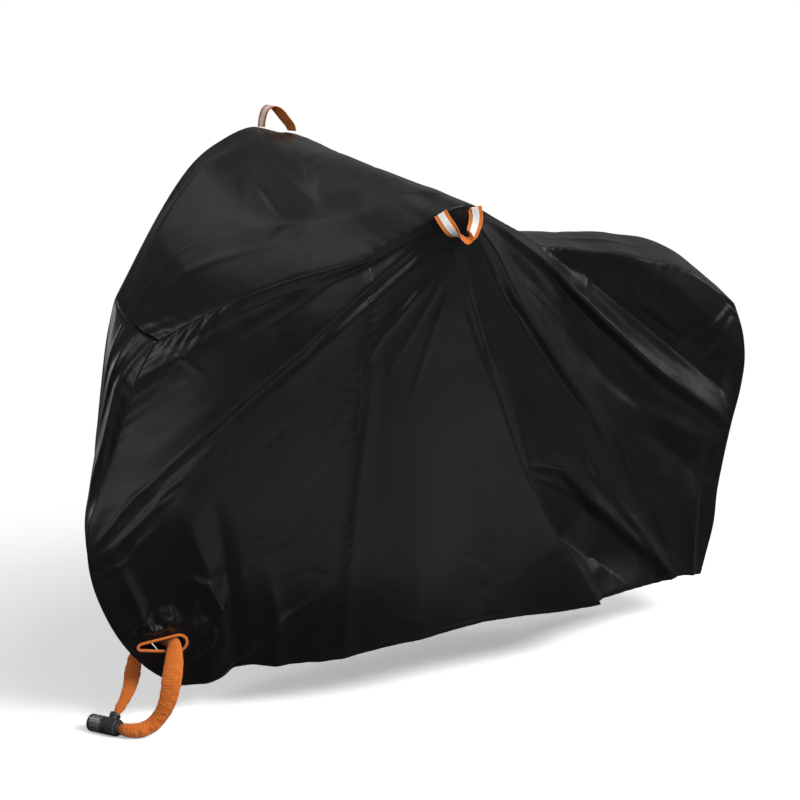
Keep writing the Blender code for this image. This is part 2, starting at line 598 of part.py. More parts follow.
def add_slot_cutter(name, eyelet, collection, reach=0.03):
    """A prism of the slot with its binding, which opens the cloth."""
    mesh = bpy.data.meshes.new(name)
    shape = bmesh.new()
    base = shape.faces.new([shape.verts.new((x, y, -reach)) for x, y in outline(BINDING + STEEL_GAP)])
    raised = bmesh.ops.extrude_face_region(shape, geom=[base])["geom"]
    tops = [part for part in raised if isinstance(part, bmesh.types.BMVert)]
    bmesh.ops.translate(shape, verts=tops, vec=(0, 0, 2 * reach))
    bmesh.ops.recalc_face_normals(shape, faces=shape.faces)
    shape.to_mesh(mesh)
    shape.free()
    cutter = bpy.data.objects.new(name, mesh)
    cutter.matrix_world = eyelet_matrix(eyelet)
    cutter.hide_render = True
    cutter.display_type = "WIRE"
    collection.objects.link(cutter)
    return cutter


def cut(piece, cutter):
    hole = piece.modifiers.new("slot", "BOOLEAN")
    hole.operation = "DIFFERENCE"
    hole.solver = "EXACT"
    hole.object = cutter


def add_ribbon(name, rows, edges, depth, lift, finish, collection, steps=18):
    """A strip along rows of (middle, way of its width), lifted off its own face by so much.

    Edges are the places across its width, in metres from its middle, where its faces are parted.
    """
    middles = by_length([row[0] for row in rows])
    ways = tuple((share[0], *row[1]) for share, row in zip(middles, rows))
    shares = np.linspace(0, 1, steps + 1)
    line, way = smooth(middles, shares), smooth(ways, shares)
    run = np.gradient(line, axis=0)
    run /= np.linalg.norm(run, axis=-1, keepdims=True)
    way -= (way * run).sum(-1, keepdims=True) * run
    way /= np.linalg.norm(way, axis=-1, keepdims=True)
    face = np.cross(run, way)
    line = line + face * lift
    grid = np.stack([line + way * edge for edge in edges], axis=1)
    return add_sheet(name, grid, face[steps // 2], finish, collection, depth)


def add_tube(name, rows, finish, collection, count):
    """A round tube along a smooth line through rows of (x, y, z, width)."""
    line = smooth(by_length(rows), np.linspace(0, 1, count))
    curve = bpy.data.curves.new(name, "CURVE")
    curve.dimensions = "3D"
    curve.bevel_depth = 0.5  # each point's radius is the tube's width there
    curve.bevel_resolution = 3
    curve.use_fill_caps = True
    spline = curve.splines.new("POLY")
    spline.points.add(count - 1)
    for point, (x, y, z, width) in zip(spline.points, line):
        point.co = (x, y, z, 1.0)
        point.radius = width
    piece = bpy.data.objects.new(name, curve)
    curve.materials.append(material(*finish))
    collection.objects.link(piece)
    return piece


def add_round(name, start, way, radius, length, bevel, finish, collection, sides=24):
    """A cylinder from one point along a way, with its rims bevelled."""
    way = Vector(way).normalized()
    mesh = bpy.data.meshes.new(name)
    shape = bmesh.new()
    bmesh.ops.create_cone(
        shape, cap_ends=True, segments=sides, radius1=radius, radius2=radius, depth=length,
        matrix=Matrix.Translation((0, 0, length / 2))
    )
    shape.to_mesh(mesh)
    shape.free()
    mesh.shade_smooth()
    mesh.set_sharp_from_angle(angle=math.radians(40))
    piece = add_mesh(name, mesh, finish, collection)
    piece.rotation_euler = way.to_track_quat("Z", "Y").to_euler()
    piece.location = Vector(start)
    rim = piece.modifiers.new("rim", "BEVEL")
    rim.width = bevel
    rim.segments = 1
    rim.limit_method = "ANGLE"
    return piece


def add_cover(collection, cutters):
    """The seven cloth panels, each drawn in from its seams, and the two lock eyelets."""
    near, far, top = near_side(), far_side(), top_side()
    black = ("black cloth", BLACK, 0.5)
    lap = SEAM_GAP
    butt = BUTT_GAP
    mid = ALONG_FRONT
    panels = (
        ("near_front_panel", near[:mid + 1], (0, -1, 0), (lap, butt, lap, 0)),
        ("near_rear_panel", near[mid:], (0, -1, 0), (butt, lap, lap, 0)),
        ("far_front_panel", far[:mid + 1], (0, 1, 0), (lap, butt, lap, 0)),
        ("far_rear_panel", far[mid:], (0, 1, 0), (butt, lap, lap, 0)),
        ("top_panel", top, (0, 0, 1), (lap, lap, lap, lap)),
    )
    made = {}
    for name, grid, outside, gaps in panels:
        made[name] = add_sheet(name, pull_in(grid, gaps), outside, black, collection, keep=KEEP[name])
    front = gusset(NEAR_FRONT, FAR_FRONT, NOSE, FRONT_HEM, FRONT_SWELL, FRONT_FOLDS, (-1, 0, 0))
    rear = gusset(NEAR_REAR, FAR_REAR, TAIL, REAR_HEM, REAR_SWELL, REAR_FOLDS, (1, 0, 0))
    for name, grid, outside in (("front_gusset", front, (-1, 0, 0)), ("rear_gusset", rear, (1, 0, 0))):
        # the grid's first and last columns run down the two seams
        grid = pull_in(grid.transpose(1, 0, 2), (lap, lap, lap, 0))
        made[name] = add_sheet(name, grid, outside, black, collection, keep=KEEP[name])
    for side, eyelet in (("near", NEAR_EYELET), ("far", FAR_EYELET)):
        cut(made[f"{side}_front_panel"], add_slot_cutter(f"{side}_slot_cutter", eyelet, cutters))
        made[f"{side}_lock_eyelet"] = add_binding(f"{side}_lock_eyelet", eyelet, collection)
    return made


def add_loops(collection):
    orange, silver = ("orange webbing", ORANGE, 0.75), ("reflective tape", SILVER, 0.35)
    for side, rows in (("near", NEAR_LOOP), ("far", FAR_LOOP)):
        tape = (-TAPE / 2, TAPE / 2)
        webbing = (-WEBBING / 2, *tape, WEBBING / 2)
        add_ribbon(f"{side}_loop", rows, webbing, WEBBING_DEPTH, 0.0, orange, collection)
        add_ribbon(f"{side}_loop_tape", rows, tape, TAPE_DEPTH, TAPE_DEPTH + STEEL_GAP, silver, collection)


def add_lock(collection):
    """The barrel lock on the ground: body, turning dials, end cap and the socket for the far leg."""
    dark, steel = ("lock body", DARK_GREY, 0.45), ("lock dials", STEEL, 0.4, 0.6)
    way = Vector(LOCK_WAY).normalized()
    at = Vector(LOCK_FOOT)
    body = add_round("lock_body", at, way, LOCK_RADIUS, BODY_LENGTH, 0.003, dark, collection)
    socket_from = at + way * SOCKET_AT
    socket = add_round(
        "lock_socket", socket_from, SOCKET_WAY, SOCKET_RADIUS, LOCK_RADIUS + SOCKET_LENGTH, 0.002, dark, collection
    )
    weld = body.modifiers.new("socket", "BOOLEAN")
    weld.operation = "UNION"
    weld.solver = "EXACT"
    weld.object = socket
    socket.hide_render = True
    socket.display_type = "WIRE"
    at = at + way * (BODY_LENGTH + STEEL_GAP)
    for i in range(DIALS):
        add_round(f"lock_dial_{i + 1}", at, way, LOCK_RADIUS, DIAL_WIDTH, 0.001, steel, collection, 20)
        at = at + way * (DIAL_WIDTH + STEEL_GAP)
    add_round("lock_cap", at, way, LOCK_RADIUS, CAP_LENGTH, 0.003, dark, collection)


def main():
    for old in list(bpy.data.objects):
        bpy.data.objects.remove(old, do_unlink=True)
    cover = bpy.data.collections.new("bicycle_cover")
    cutters = bpy.data.collections.new("cutters")
    for made in (cover, cutters):
        bpy.context.scene.collection.children.link(made)
    add_cover(cover, cutters)
    add_loops(cover)
    add_lock(cover)
    add_tube("lock_strap", STRAP, ("orange sleeve", ORANGE, 0.8), cover, 30)
    anchor = bpy.data.objects.new("bar_middle", None)
    cover.objects.link(anchor)
    for piece in [*cover.objects, *cutters.objects]:
        if piece is not anchor:
            piece.parent = anchor
    anchor.location = -Vector(BAR_MIDDLE)


if __name__ == "__main__":
    main()
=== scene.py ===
"""The looks of a fitted bicycle cover: black cloth, webbing loops, bound lock eyelets and a sleeved lock.

The tables draw the cover in a frame of its own: X from front to rear, Y from the near side to the far
side, Z up from the ground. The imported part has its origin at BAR_MIDDLE, so every piece made here is moved
back by that much. Lengths are in metres, but in millimetres in the tables of folds.
"""

import math

import bmesh
import bpy
import numpy as np
from mathutils import Matrix, Vector


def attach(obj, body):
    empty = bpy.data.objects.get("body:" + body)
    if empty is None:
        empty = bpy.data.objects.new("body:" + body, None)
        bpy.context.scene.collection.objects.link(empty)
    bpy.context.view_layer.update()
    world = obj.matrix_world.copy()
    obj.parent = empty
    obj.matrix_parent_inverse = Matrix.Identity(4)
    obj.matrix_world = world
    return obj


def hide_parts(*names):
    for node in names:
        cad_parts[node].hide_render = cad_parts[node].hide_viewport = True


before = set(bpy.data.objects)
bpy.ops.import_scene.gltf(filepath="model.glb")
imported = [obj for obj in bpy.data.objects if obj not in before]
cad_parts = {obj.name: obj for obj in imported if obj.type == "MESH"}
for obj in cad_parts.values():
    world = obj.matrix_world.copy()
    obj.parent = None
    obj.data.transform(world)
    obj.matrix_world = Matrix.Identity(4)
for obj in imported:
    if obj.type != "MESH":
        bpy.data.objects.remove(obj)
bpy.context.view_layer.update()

# ---------------------------------------------------------------- driving sizes
MM = 0.001
SEED = 11
BAR_MIDDLE = (0.155, -0.206, 1.222)  # under the highest part of the top: the part's origin
CLOTH = 0.0009  # one layer of coated cloth
MID_SEAM, SIDE_PEAK = 0.29, 0.46  # stations of the upright seam and the side peak, shares of the length
LAP = 0.007  # how far the rear cloth runs under the front one at the upright seam, as a share of the length
FRONT_FADE, REAR_FADE = 1.3, 1.2  # how fast the bows of the front and rear seams die out in the side panels
REAR_BOW_START = 0.62  # from this station on, the side panels follow the bow of the rear seam
FALL_SAG, SAG_WIDTH = 0.08, 0.10  # how far forward the cloth under the side peak hangs, and over what share
FRONT_SWELL, REAR_SWELL = 0.006, 0.014  # how far the two gussets stand out along their middles
TOP_GRID, STRIP_GRID = (250, 84), (44, 170)  # points of the top's mesh, and of each gusset's
SIDE_CROWD, TOP_CROWD = 0.25, 0.2  # how far those points crowd towards the seams

CREST, FINE_CREST, FACET_CREST = 0.005, 0.0022, 0.0008  # how round the crests of folds and creases are
FOLD_FALL = 1.6  # how fast a fold falls off from its crest
# short ridges drawn at random: rise in mm, how it runs along the ridge, and width
CREASE = {"rise": (0.6, 1.9), "run": (0, 1, 1, 0), "width": (0.009, 0.022)}
FACET = {"rise": (4.0, 9.0), "run": (0, 1, 0), "width": (0.008, 0.022)}
FACETS, FACET_SPREAD, FACET_LENGTH = 46, (0.050, 0.042), (0.010, 0.030)
CREASE_LENGTH, CREASE_LEAN, CREASE_BEND = (0.05, 0.16), 26, 0.25  # the lean in degrees, the bend in radians
RAYS = (12, 38, 62, 84, 104, 128, 155, 200, 305, 335)  # degrees: the ways of the creases that leave a slot
RAY_RISE, RAY_WIDTHS = (2.0, 3.6), (0.006, 0.004)  # the rise in mm
RAY_START, RAY_MIDDLE, RAY_END = 0.030, 0.055, (0.075, 0.120)  # distances from the slot's middle
SWELL_WAVES = 7
# small creases of a panel: how many, which way they run in degrees; its swell: size and depth
SIDE_CREASES, FRONT_WAY, REAR_WAY, SIDE_SHARE = 150, -130, -48, 0.5
TOP_CREASES, STRIP_CREASES = (70, 20), (24, 80)
SIDE_SWELL, TOP_SWELL = (0.22, 0.0035), (0.20, 0.0022)
# how far in from its edges a panel's folds and fine folds are held, as shares of its length and its depth
SIDE_ENDS, SIDE_HEAD, SIDE_FINE_ENDS, SIDE_FINE_HEAD = (0.035, 0.025), 0.05, (0.012, 0.010), 0.015
TOP_ENDS, TOP_EDGES, TOP_FINE_ENDS, TOP_FINE_EDGES = (0.04, 0.04), (0.12, 0.12), (0.01, 0.01), (0.04, 0.04)
STRIP_HEAD, STRIP_FINE_HEAD = 0.08, 0.01

# how the cloth gathers along a seam: mean wavelength, depth, and how far in it fades
PUCKER = {"wave": 0.034, "depth": 0.0012, "reach": 0.026}
SEAM_PUCKER = {"wave": 0.022, "depth": 0.0011, "reach": 0.016}  # the upright seam is the most gathered
# how deep the cloth rolls into each kind of edge: the front seams are soft, and at the upright seam the
# front panel butts against the rear one, which laps under it
EDGE_ROLL = 0.006
EDGE_DEPTH = {"seam": 0.0013, "soft": 0.00065, "butt": 0.0002, "lap": 0.0032}
SOFT_GATHER = 0.35  # how much of its gathers a soft seam has
HEM_BAND, HEM_GROOVE, GROOVE_WIDTH = 0.018, 0.0007, 0.0025  # the line of stitches along the hem
HEM_WAVE, HEM_RIPPLE, HEM_REACH = 0.045, 0.6, 0.02  # the hem's ripples: length, share of the groove, fade

# ---------------------------------------------------------------- seam lines
# share of the length, x, y, z, from the nose corner to the rear corner
NEAR_SHOULDER = (
    (0.0, -0.379, -0.216, 0.895),  # nose corner
    (0.09, -0.262, -0.308, 0.972),
    (0.19, -0.125, -0.378, 1.026),
    (0.29, 0.01, -0.444, 1.068),  # top of the upright seam
    (0.38, 0.095, -0.508, 1.134),
    (0.43, 0.13, -0.535, 1.16),
    (0.46, 0.163, -0.547, 1.17),  # side peak
    (0.49, 0.2, -0.542, 1.168),
    (0.53, 0.24, -0.522, 1.154),
    (0.6, 0.352, -0.45, 1.117),
    (0.67, 0.478, -0.375, 1.075),
    (0.73, 0.585, -0.312, 1.037),
    (0.8, 0.712, -0.293, 1.018),
    (0.88, 0.911, -0.276, 0.985),
    (0.95, 1.11, -0.266, 0.928),
    (1.0, 1.263, -0.252, 0.842),  # rear corner
)
FAR_SHOULDER = (
    (0.0, -0.409, -0.097, 0.972),
    (0.09, -0.27, -0.03, 1.122),
    (0.19, -0.145, 0.03, 1.228),
    (0.29, -0.03, 0.08, 1.28),
    (0.38, 0.075, 0.114, 1.304),
    (0.43, 0.125, 0.128, 1.296),
    (0.46, 0.16, 0.134, 1.288),
    (0.49, 0.19, 0.136, 1.286),
    (0.53, 0.235, 0.128, 1.272),
    (0.6, 0.352, 0.07, 1.208),
    (0.67, 0.478, 0.004, 1.14),
    (0.73, 0.585, -0.046, 1.066),
    (0.8, 0.712, -0.056, 1.034),
    (0.88, 0.911, -0.06, 1.022),
    (0.95, 1.12, -0.055, 0.99),
    (1.0, 1.27, -0.047, 0.912),
)
# share of the length, x, y, z, from the front corner to the rear corner
NEAR_HEM = (
    (0.0, -0.24, -0.06, 0.084),  # front corner
    (0.06, -0.175, -0.086, 0.092),
    (0.1, -0.121, -0.122, 0.122),
    (0.16, -0.055, -0.152, 0.119),
    (0.22, 0.003, -0.183, 0.123),
    (0.29, 0.086, -0.225, 0.13),  # foot of the upright seam
    (0.33, 0.216, -0.28, 0.157),
    (0.37, 0.354, -0.302, 0.169),
    (0.41, 0.52, -0.296, 0.166),
    (0.44, 0.66, -0.278, 0.152),
    (0.46, 0.757, -0.263, 0.146),  # foot of the big fold
    (0.52, 0.87, -0.215, 0.142),
    (0.6, 0.985, -0.185, 0.14),
    (0.7, 1.111, -0.169, 0.13),
    (0.76, 1.147, -0.175, 0.136),
    (1.0, 1.279, -0.141, 0.117),  # rear corner
)
FAR_HEM = (
    (0.0, -0.18, 0.012, 0.09),
    (0.1, -0.08, 0.055, 0.118),
    (0.2, 0.01, 0.088, 0.128),
    (0.29, 0.1, 0.115, 0.134),
    (0.37, 0.34, 0.14, 0.15),
    (0.46, 0.68, 0.135, 0.152),
    (0.56, 0.86, 0.11, 0.142),
    (0.7, 1.04, 0.085, 0.136),
    (0.85, 1.17, 0.062, 0.13),
    (1.0, 1.28, 0.045, 0.122),
)
# x, y, z from the nose or rear corner down to the hem
NEAR_FRONT = (
    (-0.379, -0.216, 0.895),
    (-0.418, -0.203, 0.82),
    (-0.442, -0.183, 0.731),
    (-0.462, -0.163, 0.643),
    (-0.49, -0.148, 0.56),
    (-0.507, -0.138, 0.5),
    (-0.505, -0.128, 0.44),
    (-0.487, -0.113, 0.37),
    (-0.455, -0.101, 0.298),
    (-0.41, -0.089, 0.225),
    (-0.355, -0.078, 0.162),
    (-0.295, -0.068, 0.115),
    (-0.24, -0.06, 0.084),
)
FAR_FRONT = (
    (-0.409, -0.097, 0.972),
    (-0.422, -0.086, 0.9),
    (-0.432, -0.066, 0.751),
    (-0.437, -0.058, 0.647),
    (-0.416, -0.046, 0.54),
    (-0.39, -0.034, 0.43),
    (-0.352, -0.02, 0.31),
    (-0.31, -0.008, 0.21),
    (-0.245, 0.004, 0.135),
    (-0.18, 0.012, 0.09),
)
NEAR_REAR = (
    (1.263, -0.252, 0.842),
    (1.301, -0.248, 0.758),
    (1.318, -0.239, 0.69),
    (1.318, -0.228, 0.62),
    (1.307, -0.21, 0.526),
    (1.297, -0.193, 0.425),
    (1.293, -0.179, 0.344),
    (1.298, -0.164, 0.256),
    (1.286, -0.15, 0.169),
    (1.279, -0.141, 0.117),
)
FAR_REAR = (
    (1.27, -0.047, 0.912),
    (1.302, -0.036, 0.8),
    (1.312, -0.018, 0.66),
    (1.3, 0.004, 0.48),
    (1.292, 0.028, 0.29),
    (1.28, 0.045, 0.122),
)
# share across from the near to the far seam, x, y, z
NOSE = (
    (0.0, -0.379, -0.216, 0.895),
    (0.35, -0.405, -0.178, 0.921),
    (0.7, -0.414, -0.132, 0.949),
    (1.0, -0.409, -0.097, 0.972),
)
TAIL = (
    (0.0, 1.263, -0.252, 0.842),
    (0.5, 1.28, -0.15, 0.884),
    (1.0, 1.27, -0.047, 0.912),
)
FRONT_HEM = (
    (0.0, -0.24, -0.06, 0.084),
    (0.5, -0.216, -0.024, 0.08),
    (1.0, -0.18, 0.012, 0.09),
)
REAR_HEM = (
    (0.0, 1.279, -0.141, 0.117),
    (0.5, 1.29, -0.048, 0.112),
    (1.0, 1.28, 0.045, 0.122),
)

# ---------------------------------------------------------------- folds, in millimetres
# name, rises along the fold (out is plus), widths to the left and right of its way, its bent line in (x, z)
NEAR_FOLDS = (
    ("upper trough", (-3, -9, -13, -15, -14, -9, -2), (48, 42),
     ((110, 1137), (81, 1105), (32, 1074), (-13, 1034), (-83, 985), (-144, 938), (-223, 885))),
    ("long ridge", (3, 10, 12, 12, 10, 7, 3), (24, 45),
     ((110, 1110), (61, 1062), (-31, 958), (-121, 860), (-229, 756), (-374, 608), (-433, 543))),
    ("long valley", (-3, -6, -7, -6, -4, -2), (12, 22),
     ((112, 1096), (75, 1048), (-16, 944), (-106, 846), (-214, 742), (-359, 594))),
    ("second ridge", (3, 6, 7, 6, 4, 1), (55, 11),
     ((125, 1112), (84, 1045), (17, 966), (-23, 921), (-97, 858), (-152, 789))),
    ("third ridge", (1, 4, 4, 1), (40, 9), ((148, 1050), (117, 997), (76, 944), (36, 887))),
    ("upright seam", (2, 5, 4, 5, 6), (24, 24), ((11, 1052), (43, 801), (57, 547), (72, 271), (86, 130))),
    ("big fold", (5, 10, 16, 24, 32, 36, 24), (34, 180),
     ((150, 1095), (184, 1022), (263, 888), (383, 675), (485, 512), (618, 349), (795, 165))),
    ("deep pocket", (-2, -14, -32, -43, -48, -46, -18), (190, 40),
     ((340, 860), (440, 700), (530, 565), (580, 465), (645, 380), (730, 310), (820, 250))),
    ("hem shelf", (6, 24, 24, 6), (100, 50), ((800, 150), (900, 150), (1000, 145), (1080, 135))),
    ("pocket lip", (0, 14, 24, 22, 10), (50, 18),
     ((515, 544), (672, 499), (810, 385), (1011, 242), (1135, 142))),
    ("rear ridge", (6, 16, 24, 26, 22, 10, 0), (50, 16),
     ((220, 1124), (298, 1057), (399, 946), (508, 850), (674, 702), (781, 604), (860, 530))),
    ("rear branch", (0, 8, 12, 10), (50, 14), ((716, 575), (802, 467), (989, 295), (1112, 154))),
    ("second branch", (0, 5, 6, 4), (40, 14), ((814, 622), (924, 502), (1030, 359), (1133, 189))),
    ("rear valley", (-4, -10, -14, -12, -4), (60, 60),
     ((324, 1079), (520, 955), (700, 815), (940, 625), (1200, 400))),
    ("saddle crease", (-1, -3, -5, -4, -2), (12, 22),
     ((323, 1106), (491, 1034), (701, 898), (991, 685), (1265, 528))),
    ("saddle ridge", (6, 14, 27, 28, 18, 9), (40, 14),
     ((228, 1152), (362, 1101), (622, 972), (792, 841), (996, 698), (1276, 535))),
    ("low saddle ridge", (1, 5, 7, 6, 3), (35, 50),
     ((788, 708), (900, 633), (1032, 569), (1157, 517), (1273, 472))),
    ("low saddle dip", (-1, -5, -6, -4), (40, 80), ((900, 560), (990, 540), (1132, 463), (1263, 400))),
    ("rear hollow", (-4, -34, -50, -46, -16), (110, 60),
     ((620, 1015), (790, 930), (940, 840), (1100, 735), (1279, 610))),
    ("saddle fall", (2, 10, 2), (30, 50), ((771, 990), (756, 940), (725, 890))),
    ("rear fall", (0, 12, 16), (45, 45), ((1190, 520), (1205, 300), (1215, 120))),
    ("front fall", (0, 10, 12), (60, 40), ((-340, 560), (-250, 380), (-190, 100))),
    ("front crease", (0, -9, -12), (30, 30), ((-260, 560), (-190, 330), (-130, 110))),
    ("front gather", (0, 8, 10), (30, 30), ((-120, 400), (-75, 240), (-55, 119))),
    ("eyelet pull", (8, 6, 0), (24, 34), ((-250, 225), (-200, 290), (-150, 400))),
    ("edge pull", (0, 8, 6), (24, 24), ((-470, 470), (-400, 330), (-360, 250))),
    ("broad fall", (0, 8, 10), (110, 80), ((130, 900), (180, 500), (250, 160))),
    ("broad dip", (0, -8, -10), (110, 100), ((230, 780), (340, 450), (440, 160))),
)
FAR_FOLDS = (
    ("long ridge", (5, 18, 20, 8), (90, 36), ((145, 1250), (-80, 1000), (-250, 760), (-400, 520))),
    ("long valley", (-4, -12, -14, -4), (36, 36), ((155, 1210), (-30, 940), (-190, 690), (-330, 430))),
    ("upright seam", (2, 5, 5), (30, 30), ((-30, 1280), (40, 700), (100, 134))),
    ("big fold", (6, 20, 26, 28), (45, 180), ((170, 1260), (230, 950), (400, 560), (640, 150))),
    ("pocket", (-3, -18, -32, -36), (80, 90), ((330, 1050), (480, 720), (650, 400), (800, 140))),
    ("rear ridge", (5, 20, 22, 12), (50, 70), ((230, 1260), (520, 920), (790, 580), (1000, 140))),
    ("rear valley", (-3, -16, -16, -6), (80, 80), ((330, 1190), (660, 880), (960, 580), (1130, 220))),
    ("saddle ridge", (4, 20, 22, 14), (45, 90), ((245, 1270), (600, 1020), (940, 760), (1280, 540))),
    ("front fall", (0, 9, 10), (50, 50), ((-270, 640), (-190, 380), (-110, 110))),
    ("broad dip", (0, -9, -10), (90, 90), ((160, 850), (240, 500), (330, 150))),
)
# the top's folds are drawn in (x, y)
TOP_FOLDS = (
    ("trough", (-4, -12, -10, -3), (110, 80), ((110, 60), (70, -80), (20, -230), (-60, -290))),
    ("far roll", (0, 9, 8, 2), (50, 50), ((-340, -90), (-240, -50), (-120, 0), (20, 40))),
    ("near pull", (6, 8, 2), (50, 80), ((130, -430), (-30, -280), (-220, -190))),
    ("saddle pull", (4, 10, 4), (60, 60), ((230, -400), (420, -270), (640, -200))),
    ("seat dip", (-4, -14, -6), (110, 110), ((240, -150), (420, -170), (580, -180))),
    ("rack roll", (2, 8, 2), (70, 70), ((720, -180), (920, -150), (1180, -150))),
)
# the gussets' folds are drawn in (y, z)
FRONT_FOLDS = (
    ("near pleat", (2, 7, 7), (20, 20), ((-185, 880), (-125, 600), (-60, 200))),
    ("far pleat", (1, -6, -5), (24, 24), ((-140, 940), (-90, 650), (-30, 200))),
)
REAR_FOLDS = (
    ("middle pleat", (0, 10, 8), (50, 36), ((-150, 820), (-100, 500), (-50, 120))),
    ("far dip", (0, -8, -8), (40, 40), ((-90, 840), (-40, 500), (0, 120))),
)
# share of the length, rise of the top's middle over a straight line across
TOP_CROWN = (
    (0.0, 0), (0.08, 14), (0.2, 10), (0.32, -6), (0.42, -4), (0.46, 0), (0.5, -4), (0.6, -22), (0.7, 2),
    (0.8, 14), (0.92, 12), (1.0, 0)
)

# ---------------------------------------------------------------- fine folds, with the same columns
NEAR_FINE = (
    ("shoulder tuck", (-2, -6, -7, -5, -2), (30, 22),
     ((75, 1098), (0, 1040), (-125, 998), (-250, 945), (-345, 885))),
    ("fan 1", (0, 4, 4, 0), (12, 8), ((124, 1040), (92, 960), (52, 890), (10, 800))),
    ("fan 2", (0, 4, 3, 0), (12, 8), ((150, 1030), (128, 960), (100, 880), (70, 780))),
    ("fan 3", (0, 3, 3, 0), (14, 10), ((168, 1010), (152, 920), (140, 820), (125, 700))),
    ("edge streak 1", (0, 3, 4, 2), (9, 6), ((-330, 640), (-420, 562), (-467, 494), (-486, 464))),
    ("edge streak 2", (0, 3, 4, 2), (9, 6), ((-300, 620), (-352, 575), (-416, 495), (-472, 436))),
    ("edge streak 3", (0, 4, 4, 2), (9, 6), ((-330, 570), (-386, 523), (-443, 453), (-477, 411))),
    ("edge streak 4", (0, 3, 3, 2), (9, 6), ((-360, 500), (-400, 452), (-423, 411), (-471, 388))),
    ("corner crease", (0, 3, 2, 0), (12, 8), ((-367, 885), (-325, 845), (-285, 805))),
    ("lens edge", (0, 7, 9, 8, 3), (30, 9),
     ((-185, 134), (-176, 195), (-202, 278), (-245, 345), (-277, 360))),
    ("lens hollow", (0, -7, -8, -3), (22, 22), ((-250, 340), (-228, 270), (-216, 190), (-220, 150))),
    ("lens streak", (0, 6, 5, 0), (9, 9), ((-268, 380), (-264, 293), (-259, 235))),
    ("left lens", (0, -6, -6, 0), (20, 24), ((-300, 380), (-298, 310), (-285, 245))),
    ("slot lump", (2, 14, 13, 3), (34, 8), ((-366, 252), (-342, 238), (-315, 246), (-290, 240))),
    ("slot lump 2", (2, 13, 3), (28, 8), ((-396, 236), (-374, 264), (-368, 300))),
    ("slot lump 3", (2, 13, 11, 2), (26, 9), ((-240, 160), (-214, 188), (-210, 220), (-222, 246))),
    ("slot facet", (0, 8, 7, 0), (18, 5), ((-350, 300), (-333, 270), (-318, 262), (-300, 272))),
    ("slot dent", (-1, -8, -2), (8, 14), ((-345, 262), (-322, 252), (-306, 232))),
    ("hem pull", (6, 6, 4, 0), (18, 10), ((-160, 116), (-118, 165), (-57, 240), (10, 290))),
    ("big fold step 1", (0, -4, -5, -3, 0), (10, 10),
     ((184, 1022), (225, 940), (280, 850), (322, 786), (360, 720))),
    ("big fold step 2", (0, -4, -5, -3, 0), (10, 10),
     ((215, 1022), (255, 945), (308, 855), (352, 790), (390, 725))),
    ("rear ridge crease", (0, -4, -5, 0, 0), (10, 12),
     ((235, 1095), (300, 1010), (395, 925), (500, 855), (600, 790))),
    ("pocket streak", (0, 4, 3, 0), (10, 8), ((560, 500), (650, 470), (740, 420), (800, 390))),
    ("saddle wrinkle 1", (0, 4, 3, 0), (14, 10), ((420, 1000), (560, 915), (690, 830), (800, 750))),
    ("rear droop", (0, -5, -6, 0), (20, 30), ((900, 930), (960, 850), (1060, 790), (1180, 720))),
    ("rear corner pull", (5, 4, 0), (12, 10), ((1240, 830), (1190, 790), (1130, 760))),
    ("rear corner pull 2", (4, 4, 0), (10, 10), ((1255, 800), (1220, 740), (1180, 690))),
    ("rear edge dip", (0, -5, -6, -2), (20, 25), ((1285, 600), (1240, 450), (1235, 300), (1240, 140))),
)
FAR_FINE = (
    ("fan 1", (0, 4, 4, 0), (12, 10), ((130, 1200), (85, 1060), (40, 920), (0, 800))),
    ("fan 2", (0, 4, 3, 0), (12, 10), ((160, 1180), (140, 1040), (110, 900), (90, 760))),
    ("second ridge", (3, 9, 8, 2), (45, 16), ((140, 1220), (10, 1010), (-120, 830), (-230, 700))),
    ("shoulder tuck", (-2, -6, -6, -2), (30, 22), ((20, 1250), (-80, 1215), (-200, 1120), (-330, 1010))),
    ("edge streak 1", (0, 3, 4, 2), (10, 8), ((-280, 620), (-350, 520), (-400, 440))),
    ("edge streak 2", (0, 3, 4, 2), (10, 8), ((-250, 540), (-320, 440), (-370, 360))),
    ("rear crease", (0, -5, -6, 0), (12, 16), ((280, 1180), (420, 1010), (560, 860), (680, 700))),
    ("saddle wrinkle", (0, 5, 4, 0), (16, 10), ((420, 1080), (620, 960), (800, 840), (980, 700))),
)
TOP_FINE = (
    ("nose fan 1", (3, 3, 1, 0), (12, 10), ((-395, -170), (-300, -200), (-180, -260), (-60, -330))),
    ("nose fan 2", (3, 2, 1, 0), (10, 10), ((-398, -150), (-300, -150), (-200, -170), (-110, -200))),
    ("nose fan 3", (2, 2, 0), (10, 10), ((-405, -130), (-330, -90), (-250, -60))),
    ("nose dent", (-2, -4, -1), (22, 22), ((-370, -185), (-330, -225), (-290, -262))),
    ("far facet", (0, 4, 3, 0), (22, 12), ((-330, -60), (-270, -20), (-200, 5), (-140, 20))),
    ("seat fall 1", (0, 4, 3, 0), (12, 12), ((250, -440), (330, -350), (400, -270), (470, -210))),
    ("rack crease", (0, 4, 3, 0), (14, 12), ((640, -240), (780, -220), (900, -215), (1020, -200))),
)
FRONT_FINE = (
    ("corner streak 1", (5, 6, 4, 0), (8, 8), ((-205, 885), (-170, 800), (-150, 700), (-140, 560))),
    ("corner streak 2", (4, 5, 3, 0), (8, 7), ((-180, 905), (-150, 820), (-125, 720), (-110, 600))),
    ("corner streak 3", (4, 4, 2, 0), (7, 7), ((-150, 925), (-130, 840), (-105, 740), (-90, 640))),
)
REAR_FINE = (
    ("pleat 2", (0, 5, 4, 0), (12, 12), ((-200, 760), (-170, 600), (-140, 420), (-110, 250))),
    ("pleat 3", (0, 5, 5, 0), (14, 12), ((-60, 840), (-50, 640), (-20, 440), (10, 250))),
)

